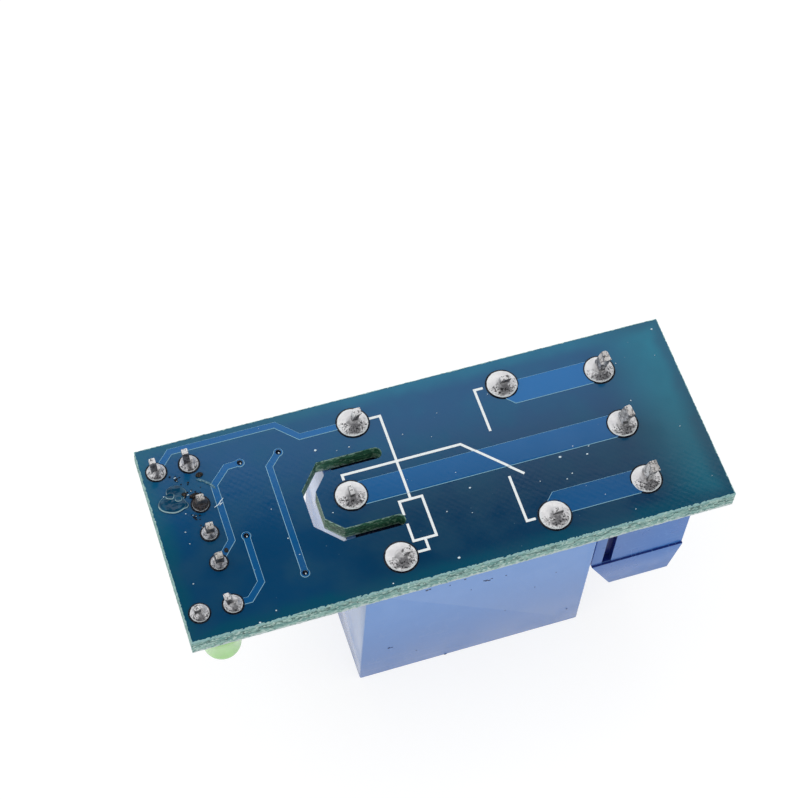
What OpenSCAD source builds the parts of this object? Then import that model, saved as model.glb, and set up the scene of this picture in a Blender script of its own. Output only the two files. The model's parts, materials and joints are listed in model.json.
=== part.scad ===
// One-channel relay module board. It stands on the flat top of its relay, solder side up.
// X runs along the board towards the screw terminals, Y runs across it, and Z points up.
// The origin is under the middle of the board, on the surface that the relay stands on.

/* [Board] */
// Thickness of the finished board, with its solder mask
board_t = 1.6; // [1.2:0.1:2]
// Board left free between the header end and the relay
front_zone = 13.5; // [13.3:0.1:16]
// Board left free past the front of the terminal block
end_margin = 2.75; // [0.5:0.05:5]
// Board left free on each side of the terminal block
side_margin = 0.63; // [0.6:0.01:2]
// Thickness of the copper layers
copper_t = 0.05; // [0.035:0.005:0.07]
// Thickness of the solder mask
mask_t = 0.03; // [0.02:0.005:0.05]
// Thickness of the printed legend
ink_t = 0.02; // [0.01:0.005:0.03]
// Width of a printed line
ink_w = 0.2; // [0.12:0.01:0.25]
// Wall of the copper plating in the holes
plating = 0.05; // [0.03:0.01:0.08]

/* [Tracks and slot] */
// Width of the control tracks
track_w = 0.5; // [0.3:0.05:0.6]
// Width of the mains tracks
mains_w = 2; // [1.5:0.1:2.2]
// Width of the routed isolation slot
slot_w = 1; // [0.8:0.05:1.2]
// Half of the slot's span across the board, to its centreline
slot_half = 2.99; // [2.8:0.01:3.1]
// From the common pin back to the slot's end, to its centreline
slot_reach = 2.97; // [2.8:0.01:3.2]
// Length of the slot's arms past the common pin
slot_arm = 2.85; // [2:0.05:3.5]
// Radius of a via's copper
via_pad_r = 0.34; // [0.3:0.01:0.45]
// Radius of a via's drilled hole
via_r = 0.22; // [0.18:0.01:0.24]

/* [Relay] */
// Length of the relay
relay_l = 18.6; // [18.2:0.1:20]
// Width of the relay
relay_w = 15.2; // [15:0.1:16]
// Height of the relay above the board
relay_h = 15.2; // [14.6:0.1:17]
// Wall of the relay's case
case_wall = 0.8; // [0.6:0.05:0.85]
// Thickness of the relay case's flat top
case_top = 0.9; // [0.7:0.05:1.2]
// Height of the feet on the case's rim
case_foot = 0.3; // [0.2:0.05:0.5]
// Width of the feet on the case's rim
case_foot_w = 1.6; // [1:0.1:2]
// Thickness of the relay's base
base_t = 1.7; // [1.2:0.1:2]
// Depth of the sealing resin over the base
resin_t = 0.55; // [0.3:0.05:0.8]
// From the relay's end to its common pin
com_inset = 1.15; // [1.1:0.01:1.3]
// From the common pin to the coil pins, along the board
coil_pin_step = 2; // [1.9:0.05:2.2]
// From the relay's far end to its contact pins
contact_inset = 3.25; // [3:0.05:3.5]
// From the relay's side to its outer pins
pin_side_inset = 1.6; // [1.55:0.01:1.7]
// Thickness of the contact strips
strip_t = 0.4; // [0.3:0.05:0.45]
// Width of the contact strips where they pass the board
strip_w = 0.8; // [0.6:0.05:0.9]
// Side of the coil's square pins
coil_pin_w = 0.5; // [0.4:0.05:0.6]
// Length of a relay pin above the board
relay_stub = 1.1; // [0.8:0.05:1.6]

/* [Relay mechanism] */
// Thickness of the iron yoke
yoke_t = 1.2; // [0.9:0.05:1.3]
// Width of the iron yoke
yoke_w = 8; // [6:0.1:9]
// Radius of the coil's winding
coil_r = 4.4; // [3.6:0.05:4.5]
// Radius of the coil's iron core
core_r = 2.1; // [1.6:0.05:2.3]
// Radius of the core's pole disc
pole_r = 3.2; // [2.6:0.05:3.4]
// Thickness of the pole disc
pole_t = 0.5; // [0.4:0.05:0.7]
// Air gap between the pole disc and the released armature
pole_gap = 0.4; // [0.38:0.01:0.5]
// Thickness of the bobbin's flanges
flange_t = 0.7; // [0.5:0.05:0.8]
// Wall of the bobbin's barrel
barrel_wall = 0.5; // [0.4:0.05:0.7]
// Width of the bobbin's flanges past the winding
flange_rim = 0.2; // [0.1:0.05:0.25]
// Thickness of the guard wall between the coil and the contacts
guard_t = 0.7; // [0.5:0.05:0.8]
// Width of the armature's tongue
tongue_w = 4; // [3:0.1:5]
// Thickness of the armature
armature_t = 1; // [0.8:0.05:1.1]
// Thickness of the contact spring
spring_t = 0.15; // [0.1:0.01:0.2]
// Width of the contact spring on the armature
spring_w = 5.2; // [4:0.1:6]
// Length of the spring's heel behind the yoke
spring_heel = 5; // [4:0.1:5.5]
// Width of a fixed contact's strip inside the relay
contact_strip_w = 2; // [1.8:0.1:2.2]
// Radius of the contact rivets' heads
contact_r = 0.9; // [0.7:0.05:1]
// Thickness of a contact rivet's head
contact_t = 0.3; // [0.25:0.01:0.35]
// Free travel of the moving contact between the fixed contacts
contact_gap = 0.56; // [0.56:0.01:0.65]
// Room between moving pieces and the inside of the case
inner_gap = 0.2; // [0.15:0.01:0.25]

/* [Terminal block] */
// Distance between neighbouring terminals
terminal_pitch = 5.08; // [5:0.01:5.2]
// Depth of the terminal block at the board
terminal_d = 7.7; // [7.5:0.1:8.5]
// Height of the terminal block
terminal_h = 9.9; // [9.7:0.1:11]
// Depth from the block's back wall to its pins
terminal_back = 4.37; // [4.2:0.01:4.5]
// Height of the shoulder where the block starts to narrow
shoulder_h = 6.2; // [5.8:0.1:6.6]
// How far the back wall slopes in
back_slope = 1.93; // [1.5:0.01:2]
// How far the front wall slopes in
front_slope = 0.75; // [0.5:0.01:0.8]
// Gap between the relay and the terminal block
terminal_gap = 0.15; // [0.1:0.05:1]
// Wall between neighbouring clamps
partition_t = 1.1; // [0.9:0.05:1.2]
// Thickness of the block's floor
floor_t = 1; // [0.8:0.05:1.1]
// Width of a wire entry
entry_w = 2.9; // [2.4:0.1:3]
// Height of a wire entry
entry_h = 3; // [2.6:0.1:3.2]
// Depth of the joining groove in the end wall
groove_depth = 0.7; // [0.4:0.05:0.7]
// Width of the joining groove in the end wall
groove_w = 0.75; // [0.6:0.05:0.9]
// From the block's back to the joining groove
groove_back = 0.9; // [0.8:0.05:1]
// How far the end wall is sunk between the board and the shoulder
end_recess = 0.2; // [0.1:0.05:0.25]

/* [Clamps] */
// Width of a clamp's cage
cage_w = 3.8; // [3.6:0.05:3.9]
// Depth of a clamp's cage
cage_d = 4; // [3.7:0.1:4.2]
// Thickness of a cage's side and bottom walls
cage_wall = 0.6; // [0.45:0.05:0.7]
// Thickness of a cage's threaded wall
nut_t = 1.1; // [0.9:0.05:1.3]
// Height of the opening in a cage
cage_gap = 2.8; // [2.6:0.05:3]
// Radius of the clamp screws
screw_r = 1.5; // [1.2:0.05:1.5]
// Radius of the clamp screws' heads
head_r = 1.8; // [1.7:0.02:1.84]
// Height of a clamp screw's head
head_h = 1.5; // [1:0.1:1.6]
// Depth of an open clamp screw's head below the block's face
head_sink = 0.4; // [0.2:0.05:0.6]
// Width of the screwdriver slot
driver_w = 0.5; // [0.4:0.05:0.8]
// Thickness of a clamp's pressure plate
plate_t = 0.4; // [0.3:0.05:0.5]
// Running clearance round the screws
fit_gap = 0.05; // [0.02:0.01:0.09]
// Width of a terminal pin
terminal_pin_w = 0.9; // [0.7:0.05:0.95]
// Thickness of a terminal pin
terminal_pin_t = 0.5; // [0.4:0.05:0.55]
// Length of a terminal pin above the board
terminal_stub = 2.1; // [1.5:0.1:2.6]
// Lean of a terminal pin's cut end, in degrees
terminal_lean = 24; // [0:1:30]

/* [Header] */
// Distance between neighbouring header pins
header_pitch = 2.54; // [2.5:0.01:2.6]
// From the board's end to the header's pins
header_inset = 3.62; // [3.4:0.01:4]
// Side of a header pin
header_pin_w = 0.64; // [0.5:0.01:0.66]
// Gap between the board and the header's strip
header_lift = 0.15; // [0.1:0.05:0.3]
// Height of the header's strip
header_h = 2.5; // [2:0.1:2.8]
// Width of the header's strip
header_w = 2.48; // [2.2:0.01:2.5]
// Length of a header pin past its strip
header_free = 6; // [5:0.1:8]
// Length of a header pin above the board
header_stub = 1.25; // [1:0.05:1.6]

/* [Lamps] */
// Radius of a lamp's lens
lens_r = 1.5; // [1.4:0.05:1.55]
// Radius of a lamp's rim
rim_r = 1.9; // [1.7:0.05:1.95]
// Height of a lamp's rim
rim_h = 1; // [0.7:0.05:1.2]
// Height of a lamp
lamp_h = 5.2; // [4.8:0.1:6]
// Distance between a lamp's leads
lead_pitch = 2.54; // [2.5:0.01:2.6]
// From the board's end to the lamps
lamp_inset = 2.43; // [2.4:0.01:2.8]
// From the board's side to the lamps
lamp_side = 2.15; // [2.1:0.01:2.2]
// Side of a lamp's square leads
lead_w = 0.5; // [0.4:0.01:0.5]
// Lean of the lamps towards the relay, in degrees
lamp_lean = 4; // [0:1:5]
// Gap between a lamp's rim and the board
lamp_gap = 0.25; // [0.2:0.05:0.6]
// Length of the red lamp's leads above the board
red_stub = 2; // [1:0.1:2.4]
// Length of the green lamp's leads above the board
green_stub = 1.2; // [1:0.1:2.4]

/* [Surface parts] */
// Length of a chip resistor
chip_l = 2; // [1.6:0.1:2]
// Width of a chip resistor
chip_w = 1.25; // [0.8:0.05:1.3]
// Height of a chip resistor
chip_h = 0.5; // [0.4:0.05:0.6]
// Length of a chip resistor's metal ends
chip_end = 0.4; // [0.2:0.05:0.5]
// Length of a surface part's land
land_l = 1; // [0.9:0.05:1.2]
// Length of the glass diode
diode_l = 3.5; // [3.3:0.1:3.7]
// Radius of the glass diode
diode_r = 0.75; // [0.65:0.05:0.8]
// Length of the glass diode's metal ends
diode_cap = 0.45; // [0.3:0.05:0.6]
// Length of the transistor's body
transistor_l = 2.9; // [2.8:0.05:3]
// Width of the transistor's body
transistor_w = 1.3; // [1.2:0.05:1.4]
// Height of the transistor's body
transistor_h = 1; // [0.9:0.05:1.1]
// Distance between the transistor's paired leads
transistor_pitch = 1.9; // [1.8:0.05:2]
// From the transistor's middle to its leads' feet
transistor_reach = 1.1; // [1:0.05:1.2]

/* [Solder] */
// Radius of the relay's solder joints
relay_pad_r = 1.2; // [1:0.05:1.25]
// Radius of the terminals' solder joints
terminal_pad_r = 1.15; // [1:0.05:1.3]
// Radius of the header's solder joints
header_pad_r = 0.66; // [0.62:0.01:0.8]
// Radius of the lamps' solder joints
lamp_pad_r = 0.78; // [0.65:0.01:0.8]
// Height of a solder joint
joint_h = 0.75; // [0.5:0.05:0.75]
// Radius of a pin's hole over the pin's own corner
hole_room = 0.1; // [0.08:0.01:0.12]

/* [Hidden] */
$fn = 48;
eps = 0.01;

// Board outline and levels
terminal_l = 3 * terminal_pitch;
board_l = front_zone + relay_l + terminal_gap + terminal_d + end_margin;
board_w = max(relay_w, terminal_l) + 2 * side_margin;
left = -board_l / 2;
under_z = relay_h;
top_z = under_z + board_t;
core_bottom = under_z + mask_t;
core_top = top_z - mask_t;

// Plan positions of the pins
relay_x0 = left + front_zone;
com = [relay_x0 + com_inset, 0];
pin_y = relay_w / 2 - pin_side_inset;
coil_1 = [com.x + coil_pin_step, pin_y];
coil_2 = [com.x + coil_pin_step, -pin_y];
contact_x = relay_x0 + relay_l - contact_inset;
pin_open = [contact_x, pin_y];
pin_closed = [contact_x, -pin_y];
terminal_x0 = relay_x0 + relay_l + terminal_gap;
terminal_x = terminal_x0 + terminal_back;
TERMINALS = [for (i = [1, 0, -1]) [terminal_x, i * terminal_pitch]];
HEADERS = [for (i = [1, 0, -1]) [left + header_inset, i * header_pitch]];
lamp_x = left + lamp_inset;
lamp_y = board_w / 2 - lamp_side;
LAMP_LEADS = [for (y = [lamp_y, -lamp_y]) for (s = [-1, 1]) [lamp_x + s * lead_pitch / 2, y]];
RELAY_PINS = [com, coil_1, coil_2, pin_open, pin_closed];
edge_y = board_w / 2;
via_1 = [left + 7.4, edge_y - 3.15];
via_2 = [left + 10.45, edge_y - 3.1];
via_3 = [left + 6.15, -1];
via_4 = [left + 9.45, 3.05 - edge_y];
VIAS = [via_1, via_2, via_3, via_4];

// Hole radii follow the pins that pass through them
relay_hole = norm([strip_w, strip_t]) / 2 + hole_room;
terminal_hole = norm([terminal_pin_w, terminal_pin_t]) / 2 + hole_room;
header_hole = norm([header_pin_w, header_pin_w]) / 2 + hole_room / 2;
lamp_hole = norm([lead_w, lead_w]) / 2 + hole_room;
// Each pad holds its place, its copper radius and the radius inside its plating
PADS = concat(
  [for (p = RELAY_PINS) [p, relay_pad_r, relay_hole]],
  [for (p = TERMINALS) [p, terminal_pad_r, terminal_hole]],
  [for (p = HEADERS) [p, header_pad_r, header_hole]],
  [for (p = LAMP_LEADS) [p, lamp_pad_r, lamp_hole]]);
HOLES = concat(PADS, [for (p = VIAS) [p, via_pad_r, via_r]]);

// Solder side tracks: a list of points and a width
rail_y = board_w / 2 - 0.73;
slim_x = HEADERS[2].x + 1.4;
TRACKS = [
  [[LAMP_LEADS[0], [LAMP_LEADS[0].x + 1.4, rail_y], [coil_1.x - 5.8, rail_y],
    [coil_1.x - 4.25, coil_1.y], coil_1], track_w],
  [[via_1, [via_1.x - 1.1, via_1.y - 0.05], [slim_x, via_1.y - 1.3], [slim_x, HEADERS[2].y + 1.5],
    HEADERS[2]], track_w],
  [[via_3, [via_3.x, LAMP_LEADS[3].y + 1.15], [via_3.x - 1.15, LAMP_LEADS[3].y], LAMP_LEADS[3]],
    track_w],
  [[via_2, [via_4.x, via_2.y - 1], via_4], track_w],
  [[com, TERMINALS[1]], mains_w],
  [[pin_open, [contact_x + 0.9, TERMINALS[0].y], TERMINALS[0]], mains_w],
  [[pin_closed, [contact_x + 0.9, TERMINALS[2].y], TERMINALS[2]], mains_w]];
SLOT = [[com.x + slot_arm, slot_half], [com.x - slot_reach / 2, slot_half],
  [com.x - slot_reach, 1.25], [com.x - slot_reach, -1.5], [com.x - slot_reach / 2, -slot_half],
  [com.x + slot_arm, -slot_half]];

// Printed circuit symbol: the coil's box and lines, and the switch's lines
box_x0 = coil_2.x + 1.3;
box_x1 = box_x0 + 1.8;
box_y0 = coil_2.y + 1;
box_y1 = box_y0 + 3.45;
box_x = (box_x0 + box_x1) / 2;
arm_y = 1.85;
LEGEND = [
  [[coil_1.x + relay_pad_r + 0.05, pin_y], [box_x, pin_y], [box_x, box_y1]],
  [[box_x0, -slot_half + 0.25], [box_x0, box_y1], [box_x1, box_y1], [box_x1, box_y0],
    [box_x0, box_y0], [box_x0, -slot_half - 0.5]],
  [[box_x, box_y0], [box_x, -pin_y + 0.05], [coil_2.x + relay_pad_r + 0.05, -pin_y + 0.05]],
  [[com.x - 0.15, relay_pad_r + 0.2], [com.x - 0.15, arm_y], [contact_x - 4.85, arm_y],
    [contact_x - 1, -1.95]],
  [[contact_x - 1.55, pin_y + 0.1], [contact_x - 2.25, pin_y + 0.1], [contact_x - 2.25, 2.3]],
  [[contact_x - 2.2, -1.85], [contact_x - 2.2, 0.15 - pin_y], [contact_x - 1.5, 0.15 - pin_y]]];

// Relay levels, measured down from the board
cavity = relay_h - case_top;
base_end = case_foot + resin_t + base_t;
closed_tab = cavity - inner_gap - strip_t;
blade = closed_tab - 2 * contact_t - spring_t;
armature_level = blade - armature_t;
open_tab = blade - 2 * contact_t - contact_gap - strip_t;
pole_level = armature_level - pole_gap;
bobbin_end = pole_level - pole_t;
winding_start = base_end + yoke_t + flange_t;
heel_end = blade - spring_heel;
yoke_x = com.x + strip_t / 2;
yoke_in = yoke_x + yoke_t;
coil_x = yoke_in + coil_r + flange_rim + 0.15;
rivet_x = contact_x + 0.4;

// Terminal levels, measured down from the board
chamber_w = terminal_pitch - partition_t;
cage_top = floor_t + cage_wall + cage_gap + nut_t;
plate_level = floor_t + cage_wall + cage_gap - plate_t - 0.2;
head_level = terminal_h - head_sink - head_h;
well_r = head_r + fit_gap;
back_x = -terminal_back;
front_x = terminal_d - terminal_back;

// Surface parts: place and turn on the component side
CHIPS = [[[via_1.x - 0.7, 2.3], 90], [[left + 6.4, via_4.y], 0], [[left + 9.6, -2.4], 90]];
diode_at = [left + 10.6, edge_y - 1.3];
transistor_at = [left + 9.5, 2];
chip_land = chip_l / 2 - 0.2;
land_z = copper_t - mask_t;
lead_t = 0.12;
lead_half = 0.2;
// Component side tracks join the surface parts to the holes
BACK_TRACKS = [
  [via_1, [CHIPS[0][0].x, CHIPS[0][0].y + chip_land]],
  [[CHIPS[0][0].x, CHIPS[0][0].y - chip_land], transistor_foot(0)],
  [transistor_foot(2), via_2, [diode_at.x - diode_l / 2 + 0.25, diode_at.y]],
  [transistor_foot(1), [CHIPS[2][0].x, CHIPS[2][0].y + chip_land]],
  [[CHIPS[2][0].x, CHIPS[2][0].y - chip_land], via_4, [CHIPS[1][0].x + chip_land, CHIPS[1][0].y]],
  [[CHIPS[1][0].x - chip_land, CHIPS[1][0].y], LAMP_LEADS[3]],
  [via_3, HEADERS[1]],
  [HEADERS[0], LAMP_LEADS[1]]];

// ---- shared shapes ----

function unit(v) = v / norm(v);

// The points of a line moved sideways by d, with mitred corners
function beside(points, d) = [for (i = [0:len(points) - 1])
  let (last = len(points) - 1,
    before = unit(points[max(i, 1)] - points[max(i, 1) - 1]),
    after = unit(points[min(i, last - 1) + 1] - points[min(i, last - 1)]),
    side = unit([-before.y - after.y, before.x + after.x]))
  points[i] + side * d / (side * [-before.y, before.x])];

function reversed(points) = [for (i = [len(points) - 1:-1:0]) points[i]];

// Half a turn of points round a line's end, from its right side to its left
function round_end(p, direction, r) = [for (a = [-75:15:75])
  p + r * [direction.x * cos(a) - direction.y * sin(a), direction.y * cos(a) + direction.x * sin(a)]];

// A flat line of constant width with mitred corners
module stroke(points, w) {
  polygon(concat(beside(points, w / 2), reversed(beside(points, -w / 2))));
}

// The same with round ends, as a milling cutter leaves it
module milled(points, w) {
  last = len(points) - 1;
  polygon(concat(
    beside(points, -w / 2),
    round_end(points[last], unit(points[last] - points[last - 1]), w / 2),
    reversed(beside(points, w / 2)),
    round_end(points[0], unit(points[0] - points[1]), w / 2)));
}

// Turns a shape that is built up from the board into one that hangs under it
module under_board() {
  translate([0, 0, under_z]) mirror([0, 0, 1]) children();
}

// A block centred in X and Y that rises from z0 to z1
module block(l, w, z0, z1) {
  translate([-l / 2, -w / 2, z0]) cube([l, w, z1 - z0]);
}

// A block between two corners
module span(a, b) {
  translate(a) cube(b - a);
}

module at(p) {
  translate([p.x, p.y, 0]) children();
}

module outline_2d() {
  difference() {
    square([board_l, board_w], center = true);
    milled(SLOT, slot_w);
  }
}

module drill_2d(grow) {
  for (h = HOLES) translate(h[0]) circle(r = h[2] + grow);
}

module solder_tracks_2d(grow) {
  for (t = TRACKS) stroke(t[0], t[1] + 2 * grow);
  for (p = VIAS) translate(p) circle(r = via_pad_r + grow);
}

module back_tracks_2d(grow) {
  for (t = BACK_TRACKS) stroke(t, track_w + 2 * grow);
  for (p = VIAS) translate(p) circle(r = via_pad_r + grow);
}

module pads_2d() {
  for (p = PADS) translate(p[0]) circle(r = p[1]);
}

// Tinned lands of the surface parts
module lands_2d() {
  for (c = CHIPS) translate(c[0]) rotate(c[1])
    for (s = [-1, 1]) translate([s * chip_l / 2, 0]) square([land_l, chip_w + 0.1], center = true);
  translate(diode_at)
    for (s = [-1, 1]) translate([s * diode_l / 2, 0]) square([land_l + 0.1, 2 * diode_r], center = true);
  for (i = [0:2]) translate(transistor_foot(i)) square([0.7 * land_l, 0.9 * land_l], center = true);
}

// The middle of a transistor lead's foot: two leads on one side, the third on the other
function transistor_foot(i) = transistor_at + [[-transistor_pitch / 2, -transistor_reach],
  [transistor_pitch / 2, -transistor_reach], [0, transistor_reach]][i];

// ---- board ----

module board() {
  color("darkseagreen")
    translate([0, 0, core_bottom])
      linear_extrude(core_top - core_bottom)
        difference() {
          outline_2d();
          drill_2d(plating);
        }
}

module hole_platings() {
  color("goldenrod")
    translate([0, 0, core_bottom])
      linear_extrude(core_top - core_bottom)
        difference() {
          drill_2d(plating);
          drill_2d(0);
        }
}

module solder_side_copper() {
  color("peru")
    translate([0, 0, core_top])
      linear_extrude(copper_t)
        difference() {
          union() {
            solder_tracks_2d(0);
            pads_2d();
          }
          drill_2d(0);
        }
}

module component_side_copper() {
  color("peru")
    translate([0, 0, core_bottom - copper_t])
      linear_extrude(copper_t)
        difference() {
          union() {
            back_tracks_2d(0);
            pads_2d();
            lands_2d();
          }
          drill_2d(0);
        }
}

module solder_side_mask() {
  color("midnightblue")
    translate([0, 0, core_top])
      difference() {
        union() {
          linear_extrude(mask_t) outline_2d();
          linear_extrude(copper_t + mask_t) solder_tracks_2d(mask_t);
        }
        linear_extrude(copper_t) solder_tracks_2d(0);
        translate([0, 0, -1]) linear_extrude(3) pads_2d();
        translate([0, 0, -1]) linear_extrude(3) drill_2d(0);
      }
}

module component_side_mask() {
  color("midnightblue")
    translate([0, 0, core_bottom])
      mirror([0, 0, 1])
        difference() {
          union() {
            linear_extrude(mask_t) outline_2d();
            linear_extrude(copper_t + mask_t) back_tracks_2d(mask_t);
          }
          linear_extrude(copper_t) back_tracks_2d(0);
          translate([0, 0, -1]) linear_extrude(3) {
            pads_2d();
            lands_2d();
          }
          translate([0, 0, -1]) linear_extrude(3) drill_2d(0);
        }
}

// The lines lie on the mask, and on top of the tracks that they cross
module solder_side_legend() {
  color("white")
    translate([0, 0, top_z]) {
      linear_extrude(ink_t)
        difference() {
          legend_2d();
          solder_tracks_2d(mask_t);
        }
      translate([0, 0, copper_t])
        linear_extrude(ink_t)
          intersection() {
            legend_2d();
            solder_tracks_2d(mask_t);
          }
    }
}

module legend_2d() {
  difference() {
    for (l = LEGEND) stroke(l, ink_w);
    pads_2d();
    milled(SLOT, slot_w);
  }
}

// Outlines round the header and the surface parts
module component_side_legend() {
  color("white")
    translate([0, 0, under_z - ink_t])
      linear_extrude(ink_t)
        difference() {
          union() {
            frame_2d(HEADERS[1], header_w + 3 * ink_w, 3 * header_pitch + 3 * ink_w);
            frame_2d(diode_at, diode_l + land_l + 4 * ink_w, 2 * diode_r + 3 * ink_w);
            for (c = CHIPS) translate(c[0]) rotate(c[1])
              frame_2d([0, 0], chip_l + land_l + 3 * ink_w, chip_w + 3 * ink_w);
          }
          back_tracks_2d(mask_t);
          pads_2d();
          lands_2d();
          drill_2d(0.05);
        }
}

module frame_2d(at, l, w) {
  translate(at)
    difference() {
      square([l, w], center = true);
      square([l - 2 * ink_w, w - 2 * ink_w], center = true);
    }
}

// ---- relay ----

module relay_case() {
  color("royalblue")
    under_board()
      difference() {
        union() {
          span([relay_x0, -relay_w / 2, case_foot], [relay_x0 + relay_l, relay_w / 2, relay_h]);
          for (x = [relay_x0, relay_x0 + relay_l - case_wall]) for (y = [-1, 1])
            translate([x, (y * (relay_w - case_foot_w) - case_foot_w) / 2, 0])
              cube([case_wall, case_foot_w, case_foot + eps]);
        }
        span([relay_x0 + case_wall, case_wall - relay_w / 2, -1],
          [relay_x0 + relay_l - case_wall, relay_w / 2 - case_wall, cavity]);
      }
}

// The inside of the case, between two levels
module cavity_span(z0, z1) {
  span([relay_x0 + case_wall, case_wall - relay_w / 2, z0],
    [relay_x0 + relay_l - case_wall, relay_w / 2 - case_wall, z1]);
}

module relay_pins_solid() {
  common_pin_solid();
  for (p = [coil_1, coil_2]) coil_pin_solid(p);
  strip_solid(1);
  strip_solid(-1);
}

module relay_base() {
  guard_x = coil_x + coil_r + 2.5 * flange_rim;
  color("black")
    under_board()
      difference() {
        union() {
          cavity_span(case_foot + resin_t, base_end);
          span([guard_x, case_wall - relay_w / 2, base_end - eps],
            [guard_x + guard_t, relay_w / 2 - case_wall, open_tab - 1]);
        }
        relay_pins_solid();
      }
}

module relay_resin() {
  color("slategray")
    under_board()
      difference() {
        cavity_span(case_foot, case_foot + resin_t);
        relay_pins_solid();
      }
}

// A barrel between two flanges: the one at the base has ears that hold the coil's pins
module coil_bobbin() {
  ear_y = relay_w / 2 - case_wall - 0.1;
  flange_x = coil_x + coil_r + 1.5 * flange_rim;
  rim_y = coil_r + flange_rim;
  color("ivory")
    under_board()
      difference() {
        union() {
          at([coil_x, 0])
            translate([0, 0, winding_start])
              cylinder(r = core_r + barrel_wall, h = bobbin_end - winding_start);
          span([yoke_in, -ear_y, winding_start - flange_t], [flange_x, ear_y, winding_start]);
          span([yoke_in, -rim_y, bobbin_end - flange_t], [flange_x, rim_y, bobbin_end]);
        }
        at([coil_x, 0]) cylinder(r = core_r, h = relay_h);
        for (p = [coil_1, coil_2]) coil_pin_solid(p);
      }
}

module coil_winding() {
  color("saddlebrown")
    under_board()
      at([coil_x, 0])
        translate([0, 0, winding_start])
          difference() {
            cylinder(r = coil_r, h = bobbin_end - flange_t - winding_start);
            translate([0, 0, -1]) cylinder(r = core_r + barrel_wall, h = relay_h);
          }
}

module coil_core() {
  color("gray")
    under_board()
      at([coil_x, 0]) {
        translate([0, 0, base_end]) cylinder(r = core_r, h = pole_level - base_end);
        translate([0, 0, bobbin_end]) cylinder(r = pole_r, h = pole_t);
      }
}

module yoke() {
  color("silver")
    under_board()
      difference() {
        union() {
          span([yoke_x, -yoke_w / 2, base_end], [coil_x + core_r + 1, yoke_w / 2, base_end + yoke_t]);
          span([yoke_x, -yoke_w / 2, base_end], [yoke_in, yoke_w / 2, armature_level]);
        }
        at([coil_x, 0]) cylinder(r = core_r, h = relay_h);
      }
}

// The armature lies on the yoke's heel and reaches over the pole disc
module armature() {
  neck_x = coil_x + pole_r;
  color("silver")
    under_board()
      translate([0, 0, armature_level])
        linear_extrude(armature_t)
          polygon([[yoke_x, -yoke_w / 2], [neck_x, -yoke_w / 2], [neck_x + 1.5, -tongue_w / 2],
            [neck_x + 1.5, tongue_w / 2], [neck_x, yoke_w / 2], [yoke_x, yoke_w / 2]]);
}

// A bent strip: its long arm lies on the armature, and its heel lies behind the yoke
module contact_spring() {
  tip_x = rivet_x + contact_r + 0.1;
  tip_y = contact_r + 0.4;
  color("gold")
    under_board()
      difference() {
        union() {
          translate([0, 0, blade])
            linear_extrude(spring_t)
              polygon([[yoke_x - spring_t, -spring_w / 2], [coil_x, -spring_w / 2],
                [coil_x + pole_r, -tip_y], [tip_x, -tip_y], [tip_x, tip_y],
                [coil_x + pole_r, tip_y], [coil_x, spring_w / 2], [yoke_x - spring_t, spring_w / 2]]);
          span([yoke_x - spring_t, -spring_w / 2, heel_end], [yoke_x, spring_w / 2, blade + spring_t]);
          for (x = [yoke_in + 1, coil_x]) at([x, 0])
            translate([0, 0, blade + spring_t - eps]) cylinder(r = 0.8, h = contact_t - 0.05);
        }
        at([rivet_x, 0]) translate([0, 0, blade - 1]) cylinder(r = contact_r / 2, h = 3);
      }
}

module moving_contact() {
  color("gainsboro")
    under_board()
      at([rivet_x, 0]) {
        translate([0, 0, blade - contact_t]) cylinder(r = contact_r, h = contact_t);
        translate([0, 0, blade]) cylinder(r = contact_r / 2, h = spring_t);
        translate([0, 0, blade + spring_t]) cylinder(r = contact_r, h = contact_t);
      }
}

module coil_pin_solid(p) {
  at(p) block(coil_pin_w, coil_pin_w, -board_t - relay_stub, winding_start);
}

module common_pin_solid() {
  at(com) {
    block(strip_t, strip_w, -board_t - relay_stub, base_end);
    block(strip_t, yoke_w / 2, base_end, heel_end - 0.3);
  }
}

// A fixed contact strip on one side: 1 is the open contact's, -1 the closed contact's
module strip_solid(side) {
  tab = side > 0 ? open_tab : closed_tab;
  at([contact_x, side * pin_y]) block(strip_w, strip_t, -board_t - relay_stub, base_end);
  tab_end = contact_r - 0.25;
  at([rivet_x, side * pin_y]) block(contact_strip_w, strip_t, base_end - 0.6, tab + strip_t);
  at([rivet_x, side * (pin_y - tab_end) / 2])
    block(contact_strip_w, pin_y + tab_end + strip_t, tab, tab + strip_t);
}

module common_pin() {
  color("silver") under_board() common_pin_solid();
}

module coil_pin(p) {
  color("silver") under_board() coil_pin_solid(p);
}

module open_contact() {
  color("silver")
    under_board() {
      strip_solid(1);
      at([rivet_x, 0]) translate([0, 0, open_tab + strip_t]) cylinder(r = contact_r, h = contact_t);
    }
}

module closed_contact() {
  color("silver")
    under_board() {
      strip_solid(-1);
      at([rivet_x, 0]) translate([0, 0, closed_tab - contact_t]) cylinder(r = contact_r, h = contact_t);
    }
}

// ---- terminal block ----

// Moves a shape to the terminal block's pin row
module at_terminals() {
  under_board() translate([terminal_x, 0, 0]) children();
}

module terminal_profile() {
  polygon([[back_x, 0], [front_x, 0], [front_x, shoulder_h], [front_x - front_slope, terminal_h],
    [back_x + back_slope, terminal_h], [back_x, shoulder_h]]);
}

// The groove's section, wider inside the wall than at its mouth
module groove_2d(shrink) {
  mouth = groove_w / 2 - shrink;
  polygon([[-mouth, -eps], [mouth, -eps], [mouth + 0.15, groove_depth - shrink],
    [-mouth - 0.15, groove_depth - shrink]]);
}

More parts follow.
